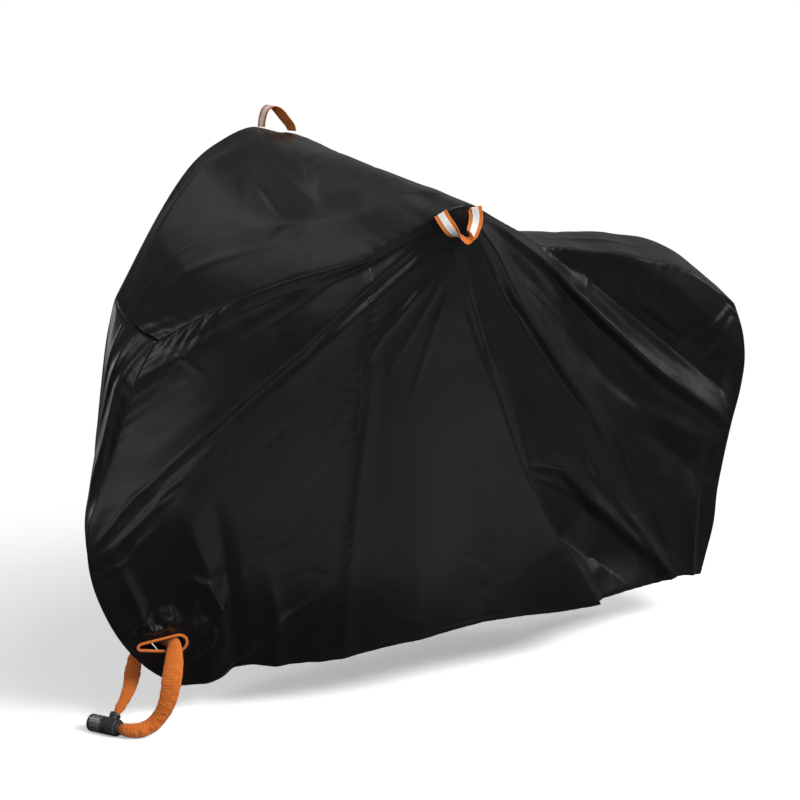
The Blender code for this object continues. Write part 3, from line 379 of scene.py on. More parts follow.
# ---------------------------------------------------------------- lock eyelets
# A tapered slot: a wide round end and a narrow one, joined by straight sides.
WIDE_END, WIDE_RADIUS = 0.037, 0.0188
NARROW_END, NARROW_RADIUS = -0.043, 0.005
BINDING, BINDING_DEPTH = 0.007, 0.0044
WRINKLE, WRINKLES = 0.05, (61, 37)  # share of the binding's depth, how many round it
STITCH, STITCHES, STITCH_WIDTH = 0.00035, 74, 0.0007  # depth, how many round it, width
NEAR_EYELET = {
    "middle": (-0.318, -0.105, 0.203), "along": (0.966, -0.257, 0.0), "out": (-0.243, -0.913, -0.319)
}
FAR_EYELET = {
    "middle": (-0.236, 0.0142, 0.205), "along": (-0.958, -0.285, 0.0), "out": (-0.28, 0.945, -0.15)
}
EYELET_REACH, EYELET_FADE = 0.039, 0.012  # the cloth is flat so near the slot, and lets go over so much
CUT_BELOW = 0.06  # an edge higher than this over the slot's middle is not the slot's own

# ---------------------------------------------------------------- webbing loops
WEBBING, WEBBING_DEPTH = 0.030, 0.0015
TAPE, TAPE_DEPTH, TAPE_LIFT = 0.014, 0.0006, 0.0004
LOOP_CUP = 0.0009  # how far the webbing's edges curl up in the middle of the loop
RIB, RIBS = 0.00016, 46  # depth, how many along the webbing
SELVEDGE, SELVEDGE_AT, SELVEDGE_WIDTH = 0.0004, 0.93, 0.05  # height, then place and width as shares across
EDGE_FALL, EDGE_FROM = 0.0006, 0.96  # how far the webbing's rims fall off, and from what share across
TAPE_DIP, TAPE_MARGIN, TAPE_DIP_WIDTH, TAPE_STITCHES = 0.00022, 0.0014, 0.0006, 30  # the tape's two seams
# x, y, z of the middle of the webbing, then the way its width runs
NEAR_LOOP = (
    ((0.1165, -0.5345, 1.156), (0.82, -0.573, 0.147)),
    ((0.1268, -0.544, 1.134), (0.815, -0.58, 0.098)),
    ((0.141, -0.552, 1.114), (0.508, -0.827, -0.035)),
    ((0.153, -0.557, 1.1045), (-0.206, -0.866, -0.306)),
    ((0.165, -0.558, 1.101), (-0.589, -0.628, -0.503)),
    ((0.178, -0.557, 1.106), (-0.9, -0.292, -0.315)),
    ((0.191, -0.553, 1.122), (-0.974, 0.281, 0.015)),
    ((0.199, -0.55, 1.144), (-0.793, 0.61, 0.098)),
    ((0.197, -0.547, 1.166), (-0.788, 0.617, 0.147)),
)
FAR_LOOP = (
    ((0.109, 0.129, 1.302), (0.0, 1.0, 0.15)),
    ((0.113, 0.129, 1.324), (0.0, 1.0, 0.15)),
    ((0.122, 0.129, 1.342), (0.0, 1.0, 0.15)),
    ((0.136, 0.13, 1.349), (-0.05, 1.0, 0.08)),
    ((0.154, 0.131, 1.34), (-0.25, 1.0, -0.15)),
    ((0.176, 0.133, 1.319), (-0.3, 1.0, -0.22)),
    ((0.194, 0.1355, 1.3), (-0.25, 1.0, -0.1)),
    ((0.199, 0.1365, 1.29), (-0.15, 1.0, 0.0)),
)

# ---------------------------------------------------------------- lock and strap
STEEL_GAP = 0.0003  # between pieces that touch
LOCK_RADIUS, LOCK_EDGE = 0.0195, 0.0032
LOCK_FOOT = (-0.405, -0.062, 0.02)  # where the near leg of the strap leaves the barrel
LOCK_WAY = (-0.374, 0.928, 0.0)
BODY_LENGTH, CAP_LENGTH = 0.040, 0.008
# share of the barrel's length, depth of its two grooves there
GROOVES = (
    (0.30, 0.0), (0.34, 0.0007), (0.36, 0.0007), (0.40, 0.0),
    (0.80, 0.0), (0.83, 0.0007), (0.85, 0.0007), (0.88, 0.0)
)
DIALS, DIAL_WIDTH, DIAL_EDGE = 4, 0.0065, 0.0008
DIAL_SIDES, DIAL_CUTS, DIAL_CUT = 120, 10, 0.0007  # the cuts for the thumb: how many and how deep
SOCKET_AT, SOCKET_WAY = 0.026, (0.70, 0.20, 0.68)
SOCKET_RADIUS, SOCKET_LENGTH, SOCKET_NECK = 0.0125, 0.012, 0.72
COLLAR_LENGTH, COLLAR_RADIUS, COLLAR_BACK, COLLAR_EDGE = 0.007, 0.0155, 0.0068, 0.0018
# x, y, z, width of the gathered sleeve
STRAP = (
    (-0.4046, -0.063, 0.02, 0.028),
    (-0.3953, -0.0861, 0.0195, 0.03),
    (-0.374, -0.104, 0.0205, 0.033),
    (-0.353, -0.114, 0.029, 0.034),
    (-0.339, -0.125, 0.047, 0.034),
    (-0.33, -0.138, 0.072, 0.037),
    (-0.3245, -0.147, 0.102, 0.041),
    (-0.319, -0.15, 0.136, 0.044),
    (-0.309, -0.143, 0.169, 0.042),
    (-0.2905, -0.1125, 0.2025, 0.03),
    (-0.283, -0.085, 0.204, 0.03),
    (-0.272, -0.052, 0.194, 0.03),
    (-0.266, -0.022, 0.193, 0.03),
    (-0.265, 0.0057, 0.205, 0.03),
    (-0.274, 0.031, 0.19, 0.029),
    (-0.289, 0.04, 0.162, 0.024),
    (-0.308, 0.03, 0.135, 0.032),
    (-0.326, 0.01, 0.112, 0.037),
    (-0.345, -0.01, 0.089, 0.031),
    (-0.3738, -0.0262, 0.0597, 0.022),
    (-0.3919, -0.0314, 0.0422, 0.025),
)
STRAP_FACE = (-0.585, -0.790, 0.182)  # the way its flat faces look
# share of the strap, thickness as a share of its width
STRAP_FLATNESS = (
    (0.0, 0.8), (0.08, 0.7), (0.16, 0.5), (0.24, 0.34), (0.36, 0.34), (0.42, 0.5),
    (0.48, 0.8), (0.64, 0.8), (0.72, 0.5), (0.85, 0.4), (0.95, 0.7), (1.0, 0.8)
)
# share of the strap, how deep its wrinkles are
STRAP_CRINKLE = (
    (0.0, 0.5), (0.1, 1.0), (0.4, 0.9), (0.46, 0.3), (0.64, 0.3), (0.72, 1.1), (0.92, 1.2), (1.0, 0.5)
)
PINCH, DENT = 0.024, 0.10  # how far a full wrinkle draws in the sleeve's width and its thickness
END_SHARE, END_REACH = 0.62, 0.02  # how narrow the sleeve's two ends are, and how far in
# the sleeve's wrinkles: how many waves, their lengths, how far they wind round it, how high they may stand
WAVES, WAVE_LENGTH, WAVE_WIND, WAVE_LIMITS = 30, (0.006, 0.030), (-4, 5), (-1.2, 1.4)
# the sleeve's seam: depth, place in half turns, width in radians
SLEEVE_SEAM, SLEEVE_SEAM_AT, SLEEVE_SEAM_WIDTH = 0.0012, 0.72, 0.10

# ---------------------------------------------------------------- camera and studio
CAMERA_PLACE = (-2.650, -4.134, 1.605)
CAMERA_TURN = (79.5, 0.0, -36.5)  # degrees
CAMERA_LENS, CAMERA_SENSOR = 99.0, 36.0
# height of the way to the room (sine), how bright the room is there
ROOM = (
    (-1.0, 0.02), (-0.15, 0.08), (-0.03, 0.14), (0.1, 0.2), (0.3, 0.26), (0.5, 0.28), (0.75, 0.17),
    (1.0, 0.08)
)
# name, place, aim, size, power
SOFTBOXES = (
    ("floor bounce", (0.55, -1.1, 0.03), (0.55, -1.05, 1.0), (1.5, 1.0), 1.45),
    ("left bounce", (-0.75, -1.45, 0.03), (-0.75, -1.4, 1.0), (0.7, 0.6), 0.35),
    ("lock fill", (-0.65, -0.68, 0.36), (-0.32, -0.1, 0.15), (0.4, 0.35), 0.4),
    ("loop fill", (-0.6, -3.0, 2.6), (0.15, -0.3, 1.2), (1.8, 1.2), 12),
    ("front high", (1.4, -5.4, 3.9), (0.3, -0.3, 0.6), (4.4, 1.4), 250),
    ("front right", (5.4, -7.8, 1.9), (0.4, -0.2, 0.7), (4.4, 2.2), 75),
    ("overhead", (-0.3, 0.8, 4.8), (0.0, -0.2, 0.9), (2.6, 2.2), 13),
    ("right low", (5.4, -1.6, 2.0), (0.5, -0.2, 0.8), (2.2, 1.4), 14),
    ("back", (-2.6, 5.0, 1.3), (0.2, 0.0, 0.5), (3.0, 1.4), 36),
    ("front left", (-4.6, -2.6, 1.8), (-0.1, -0.2, 0.6), (1.2, 2.0), 22),
)
FLOOR_RADIUS, FLOOR_AHEAD, FLOOR_LIT, FLOOR_GLOW, FLOOR_DIM = 9.0, 0.4, 1.7, 0.26, 0.08
FLOOR_FADE = (0.9, 1.98)  # the lit floor fades to plain white between these distances


# ---------------------------------------------------------------- lines and grids
def ease(x):
    """A soft step from 0 to 1."""
    x = np.clip(x, 0, 1)
    return x * x * (3 - 2 * x)


def hold(x, first, last):
    """How free a share of the way is to fold: not at all at its two ends, and fully so far in from them."""
    return ease(x / first) * ease((1 - x) / last)


def heading(turn):
    """The flat way that a turn in radians points to."""
    return np.array((math.cos(turn), math.sin(turn)))


def unit(ways):
    """The same ways, each of length one."""
    return ways / np.linalg.norm(ways, axis=-1, keepdims=True)


def walked(points, axis=0):
    """How far each point lies along its line, or along its column or row of a grid, in metres."""
    steps = np.linalg.norm(np.diff(points, axis=axis), axis=-1)
    first = np.zeros_like(np.take(steps, [0], axis=axis))
    return np.cumsum(np.concatenate((first, steps), axis=axis), axis=axis)


def by_length(points):
    """Rows of (share, x, y, z, ...) whose share is the length walked along the points."""
    table = np.array(points, float)
    run = walked(table[:, :3])
    return np.column_stack((run / run[-1], table))


def smooth(rows, share):
    """Points of a smooth line through rows of (share, x, y, z), at the given shares."""
    table = np.array(rows)
    knots, places = table[:, 0], table[:, 1:]
    slopes = np.gradient(places, knots, axis=0)
    i = np.clip(np.searchsorted(knots, share, side="right") - 1, 0, len(knots) - 2)
    width = (knots[i + 1] - knots[i])[..., None]
    a = (share - knots[i])[..., None] / width
    start = places[i] * (2 * a**3 - 3 * a**2 + 1) + slopes[i] * width * (a**3 - 2 * a**2 + a)
    end = places[i + 1] * (3 * a**2 - 2 * a**3) + slopes[i + 1] * width * (a**3 - a**2)
    return start + end


def shares(first, last, count, crowd=0.0):
    """Even shares from first to last, crowded towards both ends by so much."""
    x = np.linspace(0, 1, count)
    return first + (last - first) * (x - crowd * np.sin(2 * math.pi * x) / (2 * math.pi))


def bow(line, share):
    """How far each point of a line lies off the straight way between its ends."""
    share = share[:, None]
    return line - (1 - share) * line[0] - share * line[-1]


def side_grid(shoulder, hem, front, rear, along, down):
    """The plain hang of a side panel: straight falls from shoulder to hem, bowed to its two end seams."""
    u, v = along[:, None, None], down[None, :, None]
    grid = (1 - v) * smooth(shoulder, along)[:, None] + v * smooth(hem, along)[:, None]
    from_rear = (u - REAR_BOW_START) / (1 - REAR_BOW_START)
    for line, near_it, fade in ((front, 1 - u / MID_SEAM, FRONT_FADE), (rear, from_rear, REAR_FADE)):
        grid = grid + np.clip(near_it, 0, 1) ** fade * bow(smooth(by_length(line), down), down)[None]
    sag = FALL_SAG * np.exp(-(((u - SIDE_PEAK) / SAG_WIDTH) ** 2)) * 4 * v * (1 - v)
    return grid - sag * np.array((1.0, 0.0, 0.0))


def strip_grid(near_line, far_line, start_line, end_line, across):
    """A strip lofted from its near seam to its far seam, bowed out to its two end lines."""
    v, w = np.linspace(0, 1, len(near_line))[:, None, None], across[None, :, None]
    grid = (1 - w) * near_line[:, None] + w * far_line[:, None]
    return grid + (1 - v) * bow(start_line, across)[None] + v * bow(end_line, across)[None]


def laid_along(line, way, face, across, lift):
    """Points beside a line: so far across it, and so far out of its face."""
    return line[:, None] + way[:, None] * across[..., None] + face[:, None] * lift[..., None]


def normals(grid):
    """Unit normals of a grid of points."""
    across = np.cross(np.gradient(grid, axis=0), np.gradient(grid, axis=1))
    return across / np.maximum(np.linalg.norm(across, axis=-1, keepdims=True), 1e-9)


def looks_out(found, outside):
    """Whether the middle one of a grid's normals looks outside."""
    return found[found.shape[0] // 2, found.shape[1] // 2] @ np.array(outside) > 0


# ---------------------------------------------------------------- folds and creases
def in_metres(table):
    """The rises in millimetres, and the widths and the line in metres, of each fold of a table."""
    return [(rises, np.array(widths) * MM, np.array(line) * MM) for _name, rises, widths, line in table]


def one_fold(flat, rises, widths, line, crest):
    """How far one fold lifts each flat point. It runs along a bent line and dies out at its two widths."""
    nearest = np.full(flat.shape[:-1], np.inf)
    signed, along = np.zeros(nearest.shape), np.zeros(nearest.shape)
    for i, (a, b) in enumerate(zip(line, line[1:])):
        way = b - a
        t = np.clip(((flat - a) @ way) / (way @ way), 0, 1)
        off = flat - a - t[..., None] * way
        far = np.hypot(off[..., 0], off[..., 1])
        side = np.sign(way[0] * off[..., 1] - way[1] * off[..., 0])
        closer = far < nearest
        nearest = np.where(closer, far, nearest)
        signed = np.where(closer, side, signed)
        along = np.where(closer, (i + t) / (len(line) - 1), along)
    width = np.where(signed > 0, *widths)
    rise = np.interp(along, np.linspace(0, 1, len(rises)), rises)
    return MM * rise * np.clip(1 - (np.hypot(nearest, crest) - crest) / width, 0, 1) ** FOLD_FALL


def fold_height(flat, folds, crest):
    """The sum of the folds at each flat point."""
    height = np.zeros(flat.shape[:-1])
    for rises, widths, line in folds:
        low, high = np.min(line, axis=0) - max(widths), np.max(line, axis=0) + max(widths)
        near = ((flat > low) & (flat < high)).all(axis=-1)
        height[near] += one_fold(flat[near], rises, widths, line, crest)
    return height


def bent_ridge(draw, start, turn, bend, lengths, look):
    """One short ridge or trough with a bend in it. Its rise and its two widths are drawn at random."""
    middle = start + lengths[0] * heading(turn)
    rise = draw.uniform(*look["rise"]) * draw.choice((-1, 1))
    widths = draw.uniform(*look["width"], 2)
    return rise * np.array(look["run"]), widths, (start, middle, middle + lengths[1] * heading(turn + bend))


def creases(flat, count, main_way, seed):
    """Small creases left by packing, mostly along the main way of the cloth, which is in degrees."""
    draw = np.random.default_rng(seed)
    low, high = flat.reshape(-1, 2).min(axis=0), flat.reshape(-1, 2).max(axis=0)
    rows = []
    for _ in range(count):
        start = draw.uniform(low, high)
        turn = math.radians(main_way + draw.normal(0, CREASE_LEAN))
        bend = draw.normal(0, CREASE_BEND)
        half = draw.uniform(*CREASE_LENGTH) / 2
        rows.append(bent_ridge(draw, start, turn, bend, (half, half), CREASE))
    return fold_height(flat, rows, FINE_CREST)


def crumple(flat, spot, seed):
    """Sharp little facets round a spot, and creases that run out from it like rays."""
    draw = np.random.default_rng(seed)
    rows = []
    for _ in range(FACETS):
        start = np.array(spot) + draw.normal(0, 1, 2) * FACET_SPREAD
        turn, bend = draw.uniform(0, math.pi), draw.normal(0, 0.8)
        rows.append(bent_ridge(draw, start, turn, bend, draw.uniform(*FACET_LENGTH, 2), FACET))
    for turn in np.radians(RAYS):
        rise = draw.uniform(*RAY_RISE)
        reach = (RAY_START, RAY_MIDDLE, draw.uniform(*RAY_END))
        line = [np.array(spot) + heading(turn) * far for far in reach]
        rows.append(((rise, rise, 0), RAY_WIDTHS, line))
    return fold_height(flat, rows, FACET_CREST)


def swell(flat, size, depth, seed):
    """Broad soft unevenness: a few slow waves of the given size across the flat cloth."""
    draw = np.random.default_rng(seed)
    height = np.zeros(flat.shape[:-1])
    for _ in range(SWELL_WAVES):
        turn = draw.uniform(0, math.pi)
        wave = heading(turn) * 2 * math.pi / (size * draw.uniform(0.7, 1.5))
        height += np.sin(flat @ wave + draw.uniform(0, 2 * math.pi))
    return height * depth / SWELL_WAVES


def gather(inward, along, pucker, phase):
    """Puckers along a seam: uneven small waves in patches that fade inwards."""
    drift = 2.9 * np.sin(along * 9.1 + phase) + 1.7 * np.sin(along * 23.7 + 2 * phase)
    patch = np.clip(np.sin(along * 13.3 + 3 * phase) + 0.6 * np.sin(along * 5.1 + phase), 0, 1.2)
    fade = np.exp(-inward / pucker["reach"] * (1.3 - 0.5 * patch)) * (1 - np.exp(-inward / 0.003))
    wave = 2 * math.pi / pucker["wave"] * along
    return pucker["depth"] * (0.15 + patch) * fade * np.sin(wave + drift + inward * 40)


def dress(grid, outside, edges, phase):
    """Puckers, rolled seams and the sewn hem of one panel: each edge is a kind of EDGE_DEPTH or a hem."""
    found = normals(grid)
    along, down = walked(grid, 0), walked(grid, 1)
    runs = ((along, down), (along[-1:] - along, down), (down, along), (down[:, -1:] - down, along))
    lift = np.zeros(grid.shape[:-1])
    for turn, (kind, (inward, run)) in enumerate(zip(edges, runs)):
        if kind == "hem":
            ripple = HEM_RIPPLE * np.sin(run * 2 * math.pi / HEM_WAVE + phase) * np.exp(-inward / HEM_REACH)
            lift += HEM_GROOVE * (ripple - np.exp(-(((inward - HEM_BAND) / GROOVE_WIDTH) ** 2)))
        else:
            pucker = SEAM_PUCKER if kind in ("butt", "lap") else PUCKER
            share = SOFT_GATHER if kind == "soft" else 1.0
            lift += share * gather(inward, run, pucker, phase + turn)
            lift -= EDGE_DEPTH[kind] * np.exp(-((inward / EDGE_ROLL) ** 2))
    return grid + lift[..., None] * (found if looks_out(found, outside) else -found)


# ---------------------------------------------------------------- the cover's panels
SIDES = {
    "near": {
        "lines": (NEAR_SHOULDER, NEAR_HEM, NEAR_FRONT, NEAR_REAR), "folds": NEAR_FOLDS, "fine": NEAR_FINE,
        "eyelet": NEAR_EYELET, "loop": NEAR_LOOP, "out": -1.0, "seed": SEED + 1,
    },
    "far": {
        "lines": (FAR_SHOULDER, FAR_HEM, FAR_FRONT, FAR_REAR), "folds": FAR_FOLDS, "fine": FAR_FINE,
        "eyelet": FAR_EYELET, "loop": FAR_LOOP, "out": 1.0, "seed": SEED,
    },
}


def side_panel(side, first, last, columns, rows):
    """One side panel between two stations, with all its folds."""
    along, down = shares(first, last, columns, SIDE_CROWD), shares(0, 1, rows, SIDE_CROWD)
    grid = side_grid(*side["lines"], along, down)
    u, v = along[:, None], down[None]
    flat = grid[..., (0, 2)]
    free = hold(u, *SIDE_ENDS) * ease(v / SIDE_HEAD)
    fine = fold_height(flat, in_metres(side["fine"]), FINE_CREST)
    fine += SIDE_SHARE * creases(flat, SIDE_CREASES, REAR_WAY if first > 0 else FRONT_WAY, side["seed"])
    fine += swell(flat, *SIDE_SWELL, side["seed"] + 2)
    middle = side["eyelet"]["middle"]
    fine += crumple(flat, (middle[0], middle[2]), side["seed"] + 9)
    lift = fold_height(flat, in_metres(side["folds"]), CREST) * free
    lift += fine * hold(u, *SIDE_FINE_ENDS) * ease(v / SIDE_FINE_HEAD)
    outside = np.array((0.0, side["out"], 0.0))
    return flatten(grid + lift[..., None] * outside, free, side["eyelet"]), outside


def flatten(grid, free, eyelet):
    """Lay the cloth flat where the eyelet is bound into it, and let it go close around."""
    spot, along, up, out = eyelet_axes(eyelet)
    off = grid - spot
    depth, x, y = off @ out, off @ along, off @ up
    reach = np.hypot(x - np.clip(x, NARROW_END, WIDE_END), y)
    held = ease((EYELET_REACH - reach) / EYELET_FADE) * ease(free * 2)
    return grid - (held * depth)[..., None] * out


def top_sheet(columns, rows):
    """The long strip over the top, with its crown and its folds."""
    along, across = shares(0, 1, columns), shares(0, 1, rows, TOP_CROWD)
    edges = [smooth(line, along) for line in (NEAR_SHOULDER, FAR_SHOULDER)]
    grid = strip_grid(*edges, smooth(NOSE, across), smooth(TAIL, across), across)
    crown = np.interp(along, *zip(*TOP_CROWN)) * MM
    grid[..., 2] += crown[:, None] * np.sin(math.pi * across)
    u, v = along[:, None], across[None]
    flat = grid[..., (0, 1)]
    fine = fold_height(flat, in_metres(TOP_FINE), FINE_CREST) + creases(flat, *TOP_CREASES, SEED + 5)
    fine += swell(flat, *TOP_SWELL, SEED + 6)
    lift = fold_height(flat, in_metres(TOP_FOLDS), CREST) * hold(u, *TOP_ENDS) * hold(v, *TOP_EDGES)
    grid[..., 2] += lift + fine * hold(u, *TOP_FINE_ENDS) * hold(v, *TOP_FINE_EDGES)
    return grid


def gusset(near_edge, far_edge, head, foot, bulge, folds, fine, out, columns, rows):
    """A long gusset between two seams, swelled out along its middle. Its first axis runs across."""
    down, across = shares(0, 1, rows), shares(0, 1, columns)
    edges = [smooth(by_length(line), down) for line in (near_edge, far_edge)]
    grid = strip_grid(*edges, smooth(head, across), smooth(foot, across), across)
    arch = np.sin(math.pi * across)[None]
    flat = grid[..., (1, 2)]
    small = fold_height(flat, in_metres(fine), FINE_CREST) + creases(flat, *STRIP_CREASES, SEED + 8)
    lift = (bulge + fold_height(flat, in_metres(folds), CREST)) * (arch * ease(down / STRIP_HEAD)[:, None])
    lift += small * ease(down / STRIP_FINE_HEAD)[:, None] * arch**0.5
    return (grid + lift[..., None] * np.array(out)).transpose(1, 0, 2)


# ---------------------------------------------------------------- making meshes
PIECES = bpy.data.collections.new("cover_looks")
bpy.context.scene.collection.children.link(PIECES)
SHIFT = np.array(BAR_MIDDLE)


def new_piece(name, mesh, finish, slot, *nodes):
    """A named piece of the object: its finish, its body and the nodes that it stands for. Its slot is not
    used.
    """
    piece = bpy.data.objects.new(name, mesh)
    mesh.materials.append(finish)
    PIECES.objects.link(piece)
    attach(piece, "root")
    if nodes:
        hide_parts(*nodes)
    return piece


def grid_mesh(name, grid, outside, closed=False):
    """A quad mesh through a grid of points in the tables' frame, with its flat sizes as its UV map."""
    index = np.arange(grid.shape[0] * grid.shape[1]).reshape(grid.shape[:2])
    if closed:
        index = np.concatenate((index, index[:, :1]), axis=1)
    corners = index[:-1, :-1], index[1:, :-1], index[1:, 1:], index[:-1, 1:]
    if not looks_out(normals(grid), outside):
        corners = corners[::-1]
    faces = np.stack(corners, axis=-1).reshape(-1, 4).tolist()
    mesh = bpy.data.meshes.new(name)
    mesh.from_pydata((grid - SHIFT).reshape(-1, 3).tolist(), [], faces)
    mesh.shade_smooth()
    sizes = np.stack((walked(grid, 0), walked(grid, 1)), axis=-1).reshape(-1, 2)
    loops = np.empty(len(mesh.loops), dtype=np.int32)
    mesh.loops.foreach_get("vertex_index", loops)
    mesh.uv_layers.new(name="cloth").data.foreach_set("uv", sizes[loops].reshape(-1))
    return mesh


def close_up(mesh):
    """Weld a mesh's meeting points, cap its open ends and turn its faces out."""
    shape = bmesh.new()
    shape.from_mesh(mesh)
    bmesh.ops.remove_doubles(shape, verts=shape.verts, dist=1e-5)
    bmesh.ops.holes_fill(shape, edges=[edge for edge in shape.edges if edge.is_boundary])
    bmesh.ops.recalc_face_normals(shape, faces=shape.faces)
    shape.to_mesh(mesh)
    shape.free()


def thicken(piece, depth):
    """Give a sheet its thickness, inwards from its outer face."""
    skin = piece.modifiers.new("cloth", "SOLIDIFY")
    skin.thickness = depth
    skin.offset = -1.0
    skin.use_quality_normals = True


# ---------------------------------------------------------------- lock eyelets
def eyelet_axes(eyelet):
    """The eyelet's middle and its own axes: along the slot, up across it, and out of the cloth."""
    out, along = unit(np.array(eyelet["out"])), np.array(eyelet["along"])
    along = unit(along - (along @ out) * out)
    return np.array(eyelet["middle"]), along, np.cross(out, along), out


def outline(grow, count, steps=9):
    """The slot's outline, grown outwards by so much, as a ring of evenly spaced flat points."""
    lean = math.asin((WIDE_RADIUS - NARROW_RADIUS) / (WIDE_END - NARROW_END))
    ring = []
    for end, radius, start, sweep in (
        (WIDE_END, WIDE_RADIUS, -math.pi / 2 - lean, math.pi + 2 * lean),
        (NARROW_END, NARROW_RADIUS, math.pi / 2 + lean, math.pi - 2 * lean),
    ):
        for i in range(steps + 1):
            ring.append(np.array((end, 0)) + (radius + grow) * heading(start + sweep * i / steps))
    ring = np.array([*ring, ring[0]])
    run = walked(ring)
    at = np.linspace(0, run[-1], count, endpoint=False)
    return np.stack([np.interp(at, run, ring[:, k]) for k in range(2)], axis=-1)


def inside(point, ring):
    """Whether a flat point lies inside a closed ring, by how often a ray from it crosses the ring."""
    x, y = point
    hits = 0
    for (x1, y1), (x2, y2) in zip(ring, np.roll(ring, -1, axis=0)):
        if (y1 > y) != (y2 > y) and x < (x2 - x1) * (y - y1) / (y2 - y1) + x1:
            hits += 1
    return hits % 2 == 1


def open_slot(mesh, eyelet):
    """Cut the slot out of the cloth and lay the cut edge under the middle of its binding."""
    middle, along, up, _out = eyelet_axes(eyelet)
    ring = outline(BINDING / 2, 120)
    limit = WIDE_END + WIDE_RADIUS + BINDING
    shape = bmesh.new()
    shape.from_mesh(mesh)
    gone = []
    for face in shape.faces:
        off = np.array(face.calc_center_median()) + SHIFT - middle
        if off @ off < limit**2 and inside((off @ along, off @ up), ring):
            gone.append(face)
    bmesh.ops.delete(shape, geom=gone, context="FACES")
    for vert in shape.verts:
        if vert.is_boundary:
            off = np.array(vert.co) + SHIFT - middle
            here = np.array((off @ along, off @ up))
            if np.hypot(*here) < limit and here[1] < CUT_BELOW:
                step = ring[np.argmin(np.hypot(*(ring - here).T))] - here
                vert.co += Vector(along * step[0] + up * step[1])
    shape.to_mesh(mesh)
    shape.free()


def binding(side, eyelet, finish):
    """The bound edge: folded tape with a domed face, tight little wrinkles and a row of stitches' dents."""
    middle, along, up, out = eyelet_axes(eyelet)
    count, turns, half = 220, 18, BINDING / 2
    ring = outline(half, count)
    way = unit(np.roll(ring, -1, axis=0) - np.roll(ring, 1, axis=0))
    aside = np.stack((way[:, 1], -way[:, 0]), axis=-1)
    turn = np.linspace(0, 2 * math.pi, turns, endpoint=False)
    run = np.linspace(0, 1, count, endpoint=False)[:, None] * 2 * math.pi
    wrinkle = 1 + WRINKLE * np.sin(run * WRINKLES[0]) + WRINKLE * np.sin(run * WRINKLES[1] + 2)
    across = half * np.sign(np.cos(turn)) * np.abs(np.cos(turn)) ** 0.8 * np.ones_like(wrinkle)
    rise = BINDING_DEPTH / 2 * np.sign(np.sin(turn)) * np.abs(np.sin(turn)) ** 0.75 * wrinkle
    stitch = STITCH * (np.sin(run * STITCHES) > 0) * np.exp(-((across + half * 0.2) / STITCH_WIDTH) ** 2)
    rise = rise - stitch * np.sign(rise)
    flat_x, flat_y = (ring[:, None] + aside[:, None] * across[..., None]).transpose(2, 0, 1)
    back = middle - out * CLOTH / 2
    points = back + flat_x[..., None] * along + flat_y[..., None] * up + rise[..., None] * out
    mesh = grid_mesh(f"{side}_slot_binding", np.concatenate((points, points[:1])), out, closed=True)
    close_up(mesh)
    new_piece(f"{side}_slot_binding", mesh, finish, "orange_binding", f"{side}_lock_eyelet")


# ---------------------------------------------------------------- webbing loops
def ribbon_frame(rows, steps):
    """Middle line, width ways and face ways of a strip along rows of (middle, way of its width)."""
    middles = by_length([middle for middle, _way in rows])
    at = np.linspace(0, 1, steps)
    line = smooth(middles, at)
    way = smooth(np.column_stack((middles[:, 0], [way for _middle, way in rows])), at)
    run = unit(np.gradient(line, axis=0))
    way = unit(way - (way * run).sum(-1, keepdims=True) * run)
    return line, way, np.cross(run, way)


def webbing(side, rows, orange, silver):
    """The woven loop with its selvedges and its reflective tape, sewn on along both tape edges."""
    steps, strips = 150, 31
    line, way, face = ribbon_frame(rows, steps)
    run = np.linspace(0, 1, steps)[:, None]
    cup = LOOP_CUP * np.sin(run * math.pi)

    place = np.linspace(-WEBBING / 2, WEBBING / 2, strips)[None]
    edge = np.abs(place) / (WEBBING / 2)
    rib = RIB * np.sin(run * 2 * math.pi * RIBS)
    selvedge = SELVEDGE * np.exp(-(((edge - SELVEDGE_AT) / SELVEDGE_WIDTH) ** 2))
    fall = EDGE_FALL * np.clip(edge - EDGE_FROM, 0, 1) / (1 - EDGE_FROM)
    grid = laid_along(line, way, face, place, rib + selvedge - fall + cup * edge**2)
    mesh = grid_mesh(f"{side}_webbing", grid, face[steps // 2])
    loop = new_piece(f"{side}_webbing", mesh, orange, "orange_webbing", f"{side}_loop")
    thicken(loop, WEBBING_DEPTH)

    place = np.linspace(-TAPE / 2, TAPE / 2, 15)[None]
    dip = -TAPE_DIP * np.exp(-(((np.abs(place) - (TAPE / 2 - TAPE_MARGIN)) / TAPE_DIP_WIDTH) ** 2))
    stitch = dip * (0.4 + 0.6 * (np.sin(run * 2 * math.pi * TAPE_STITCHES) > 0))
    lift = TAPE_DEPTH + TAPE_LIFT + cup * (place / (WEBBING / 2)) ** 2 + stitch
    tape_grid = laid_along(line, way, face, place, lift)
    mesh = grid_mesh(f"{side}_reflective_tape", tape_grid, face[steps // 2])
    tape = new_piece(f"{side}_reflective_tape", mesh, silver, "reflective_tape", f"{side}_loop_tape")
    thicken(tape, TAPE_DEPTH)


